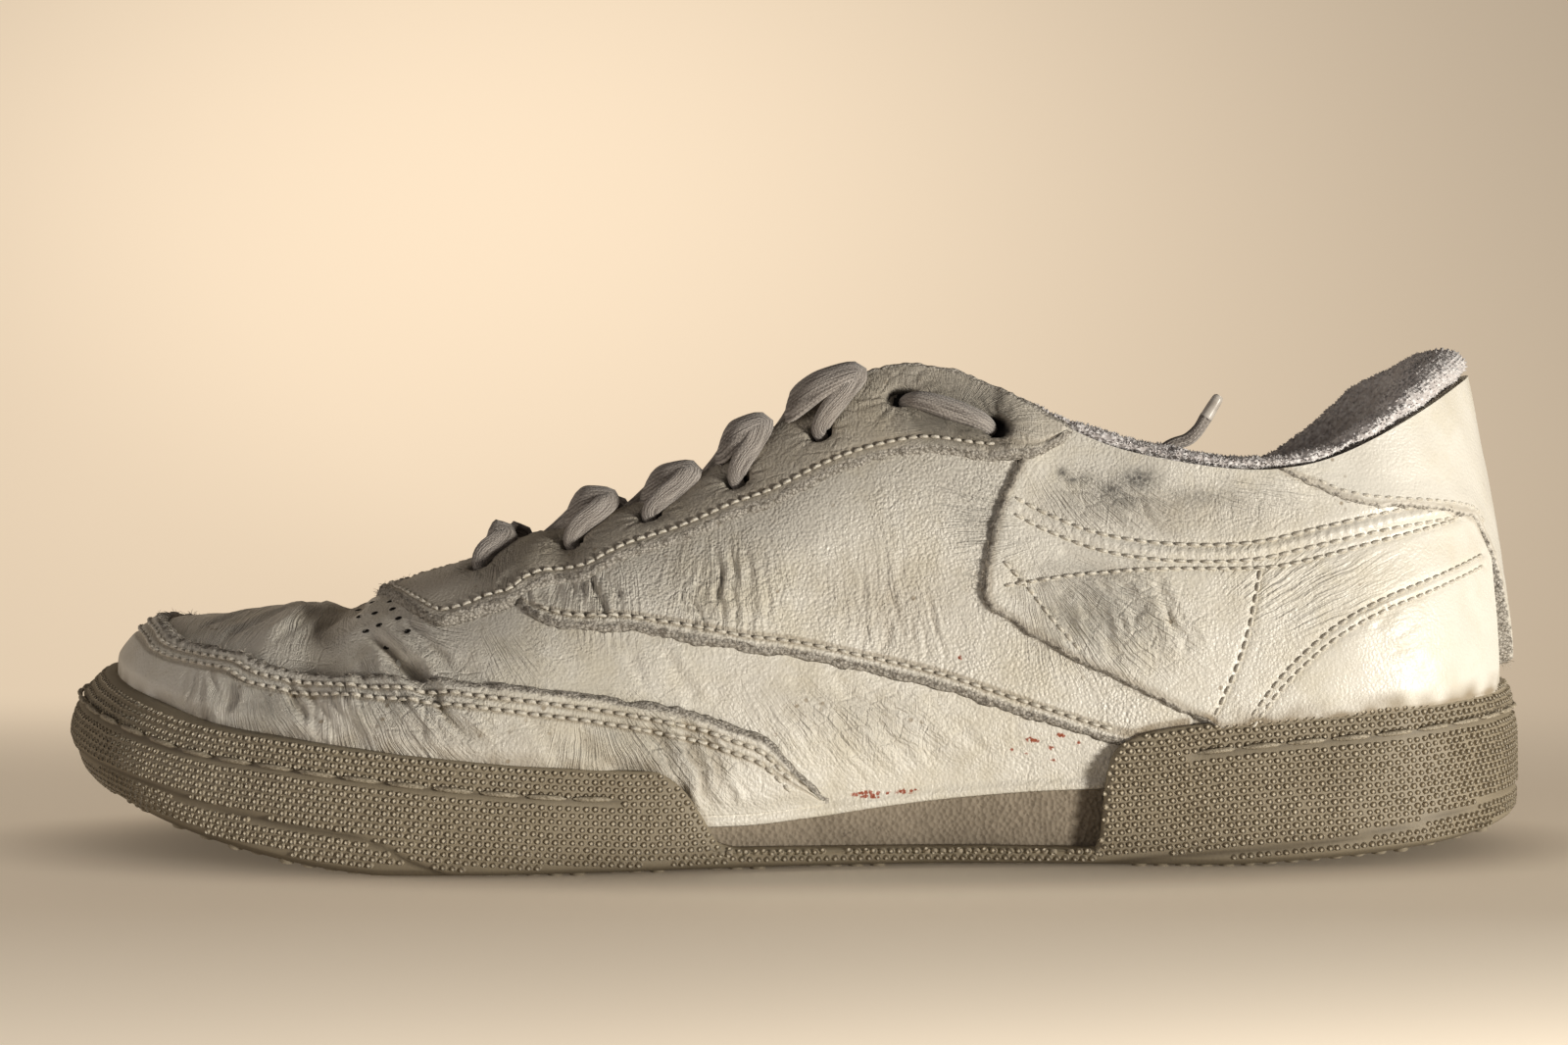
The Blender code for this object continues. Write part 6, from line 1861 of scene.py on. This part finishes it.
def make_paper_with_painted_light():
    """The sheet's finish: matt paper that glows all over with painted light, brightest where it stands up
    behind the shoe and on its front bend, with a painted shadow round the foot of the shoe, and clear from
    its back."""
    material, tree, shader = new_material("pale_floor_painted_light")
    place = place_in(tree)
    x, y, z = parted_axes(place)
    # Painted light: a soft glow on the upstanding sheet, brightest up and to the left.
    painted_backdrop_glow = worked("EXPONENT", (((x + 0.17) / 0.44) ** 2.0 + ((z - 0.22) / 0.36) ** 2.0) * -1.0)
    rise = ramp(z, -0.002, 0.014)
    # Painted light on the front bend, brighter to the right.
    front = ramp(z, -0.002, -0.03) * ramp(x, -0.24, 0.2, 0.10, 0.85)
    # Painted shadow: the flat floor's glow is cut back round the foot of the shoe.
    under = (x / 0.150) ** 2.0 + (y / 0.058) ** 2.0
    flat = ramp(under, 0.6, 1.5, 0.2, 1.0) * 0.28 + front
    level = (0.28 + painted_backdrop_glow * 0.60) * rise + (1.0 - rise) * flat
    # Camera rays see the whole painted glow; other rays get less of it.
    seen = node(tree, "LightPath", output="Is Camera Ray")
    paper = blend(noise(place, 9.0), (0.78, 0.72, 0.62), (0.86, 0.81, 0.71))
    fill(shader, {"Roughness": 0.85, "Emission Color": (1.0, 0.80, 0.575, 1),
                  "Emission Strength": level * (0.42 + seen * 0.58),
                  # Darker base colour where the sheet stands up, under its painted glow.
                  "Base Color": blend(rise, paper, (0.34, 0.30, 0.25))})
    back = node(tree, "NewGeometry", output="Backfacing")
    both = node(tree, "MixShader", {0: back, 1: Value(shader.outputs[0]), 2: node(tree, "BsdfTransparent")})
    fill(tree.nodes["Material Output"], {"Surface": both})
    return material


def make_stage():
    """A pale sheet that bends down in front, lies flat under the shoe and sweeps up behind it;
    a low warm key lamp and a weak fill."""
    drop, front_bend = np.linspace(1.1, 0, 20), 0.1
    bend, back_bend = np.linspace(0, np.pi / 2, 40), 0.7
    depth = np.concatenate([-0.078 - front_bend * np.sin(drop), 0.075 + back_bend * np.sin(bend)])
    height = np.concatenate([front_bend * (np.cos(drop) - 1), back_bend * (1 - np.cos(bend))])
    depth = np.concatenate([depth[:1] - 0.5, depth, [0.775]])
    height = np.concatenate([height[:1] - 0.9, height, [2.6]])
    grid = np.stack(np.broadcast_arrays(np.linspace(-3.0, 3.0, 13), depth[:, None], height[:, None]), axis=-1)
    mesh = bpy.data.meshes.new("floor_sweep")
    mesh.from_pydata(grid.reshape(-1, 3).tolist(), [], grid_quads(len(depth), 13)[:, ::-1].tolist())
    mesh.shade_smooth()
    mesh.materials.append(make_paper_with_painted_light())
    floor = bpy.data.objects.new("floor_sweep", mesh)
    bpy.context.scene.collection.objects.link(floor)
    world = bpy.data.worlds.new("studio")
    bpy.context.scene.world = world
    world.use_nodes = True
    fill(world.node_tree.nodes["Background"], {0: (0.50, 0.45, 0.43, 1), 1: 0.16})
    bpy.context.scene.view_settings.view_transform = "Standard"
    for lamp in LAMPS:
        add_lamp(*lamp)


# ---------------------------------------------------------------- the shoe

def main():
    make_camera()
    cotton = make_cotton()
    sleeve = make_plain("aglet_sleeve", (0.70, 0.66, 0.60), (0.42, 0.37, 0.32), 0.35, 300.0, 0.03 * MM)
    make_lace_end(cotton, sleeve)
    leather_smooth = make_leather("worn_leather", 0.45)
    leather_grained = make_leather("grained_leather", 0.8)
    rubber, terry = make_rubber(), make_terry()
    thread = make_plain("thread", (0.80, 0.76, 0.67), (0.50, 0.45, 0.36), 0.6, 3000.0, 0.08 * MM)
    old_thread = make_plain("old_thread", (0.46, 0.40, 0.30), (0.20, 0.165, 0.11), 0.6, 3000.0, 0.08 * MM)
    cloth = make_plain("foot_bed_cloth", (0.36, 0.32, 0.28), (0.16, 0.13, 0.11), 0.95, 1500.0, 0.2 * MM, 0.2)
    bare = make_plain("bare_fibre", (0.62, 0.56, 0.47), (0.36, 0.31, 0.25), 0.95, 2500.0, 0.1 * MM)
    dark = make_plain("hole_shadow", (0.030, 0.025, 0.020), (0.012, 0.010, 0.008), 0.9)
    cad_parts["midsole"].data.materials[0] = make_foam()
    make_lace(cotton)
    wall = make_outsole(rubber)
    wall_dots(*wall, rubber)
    wall_thread(*wall, old_thread)
    tread_nubs(rubber)
    make_insole(cloth)
    make_upper_skin(leather_smooth)
    make_mudguard(leather_smooth)
    for side in (-1, 1):
        make_side_panel(side, leather_grained)
        make_quarter(side, leather_smooth)
    make_eyestay(leather_smooth)
    make_heel_tab(leather_smooth)
    make_stitches(seam_places(), thread)
    make_perforations(dark)
    make_fray(cut_edges(), bare)
    make_terry_loops(*make_collar(terry), terry)
    make_tongue(terry)
    make_stage()


main()
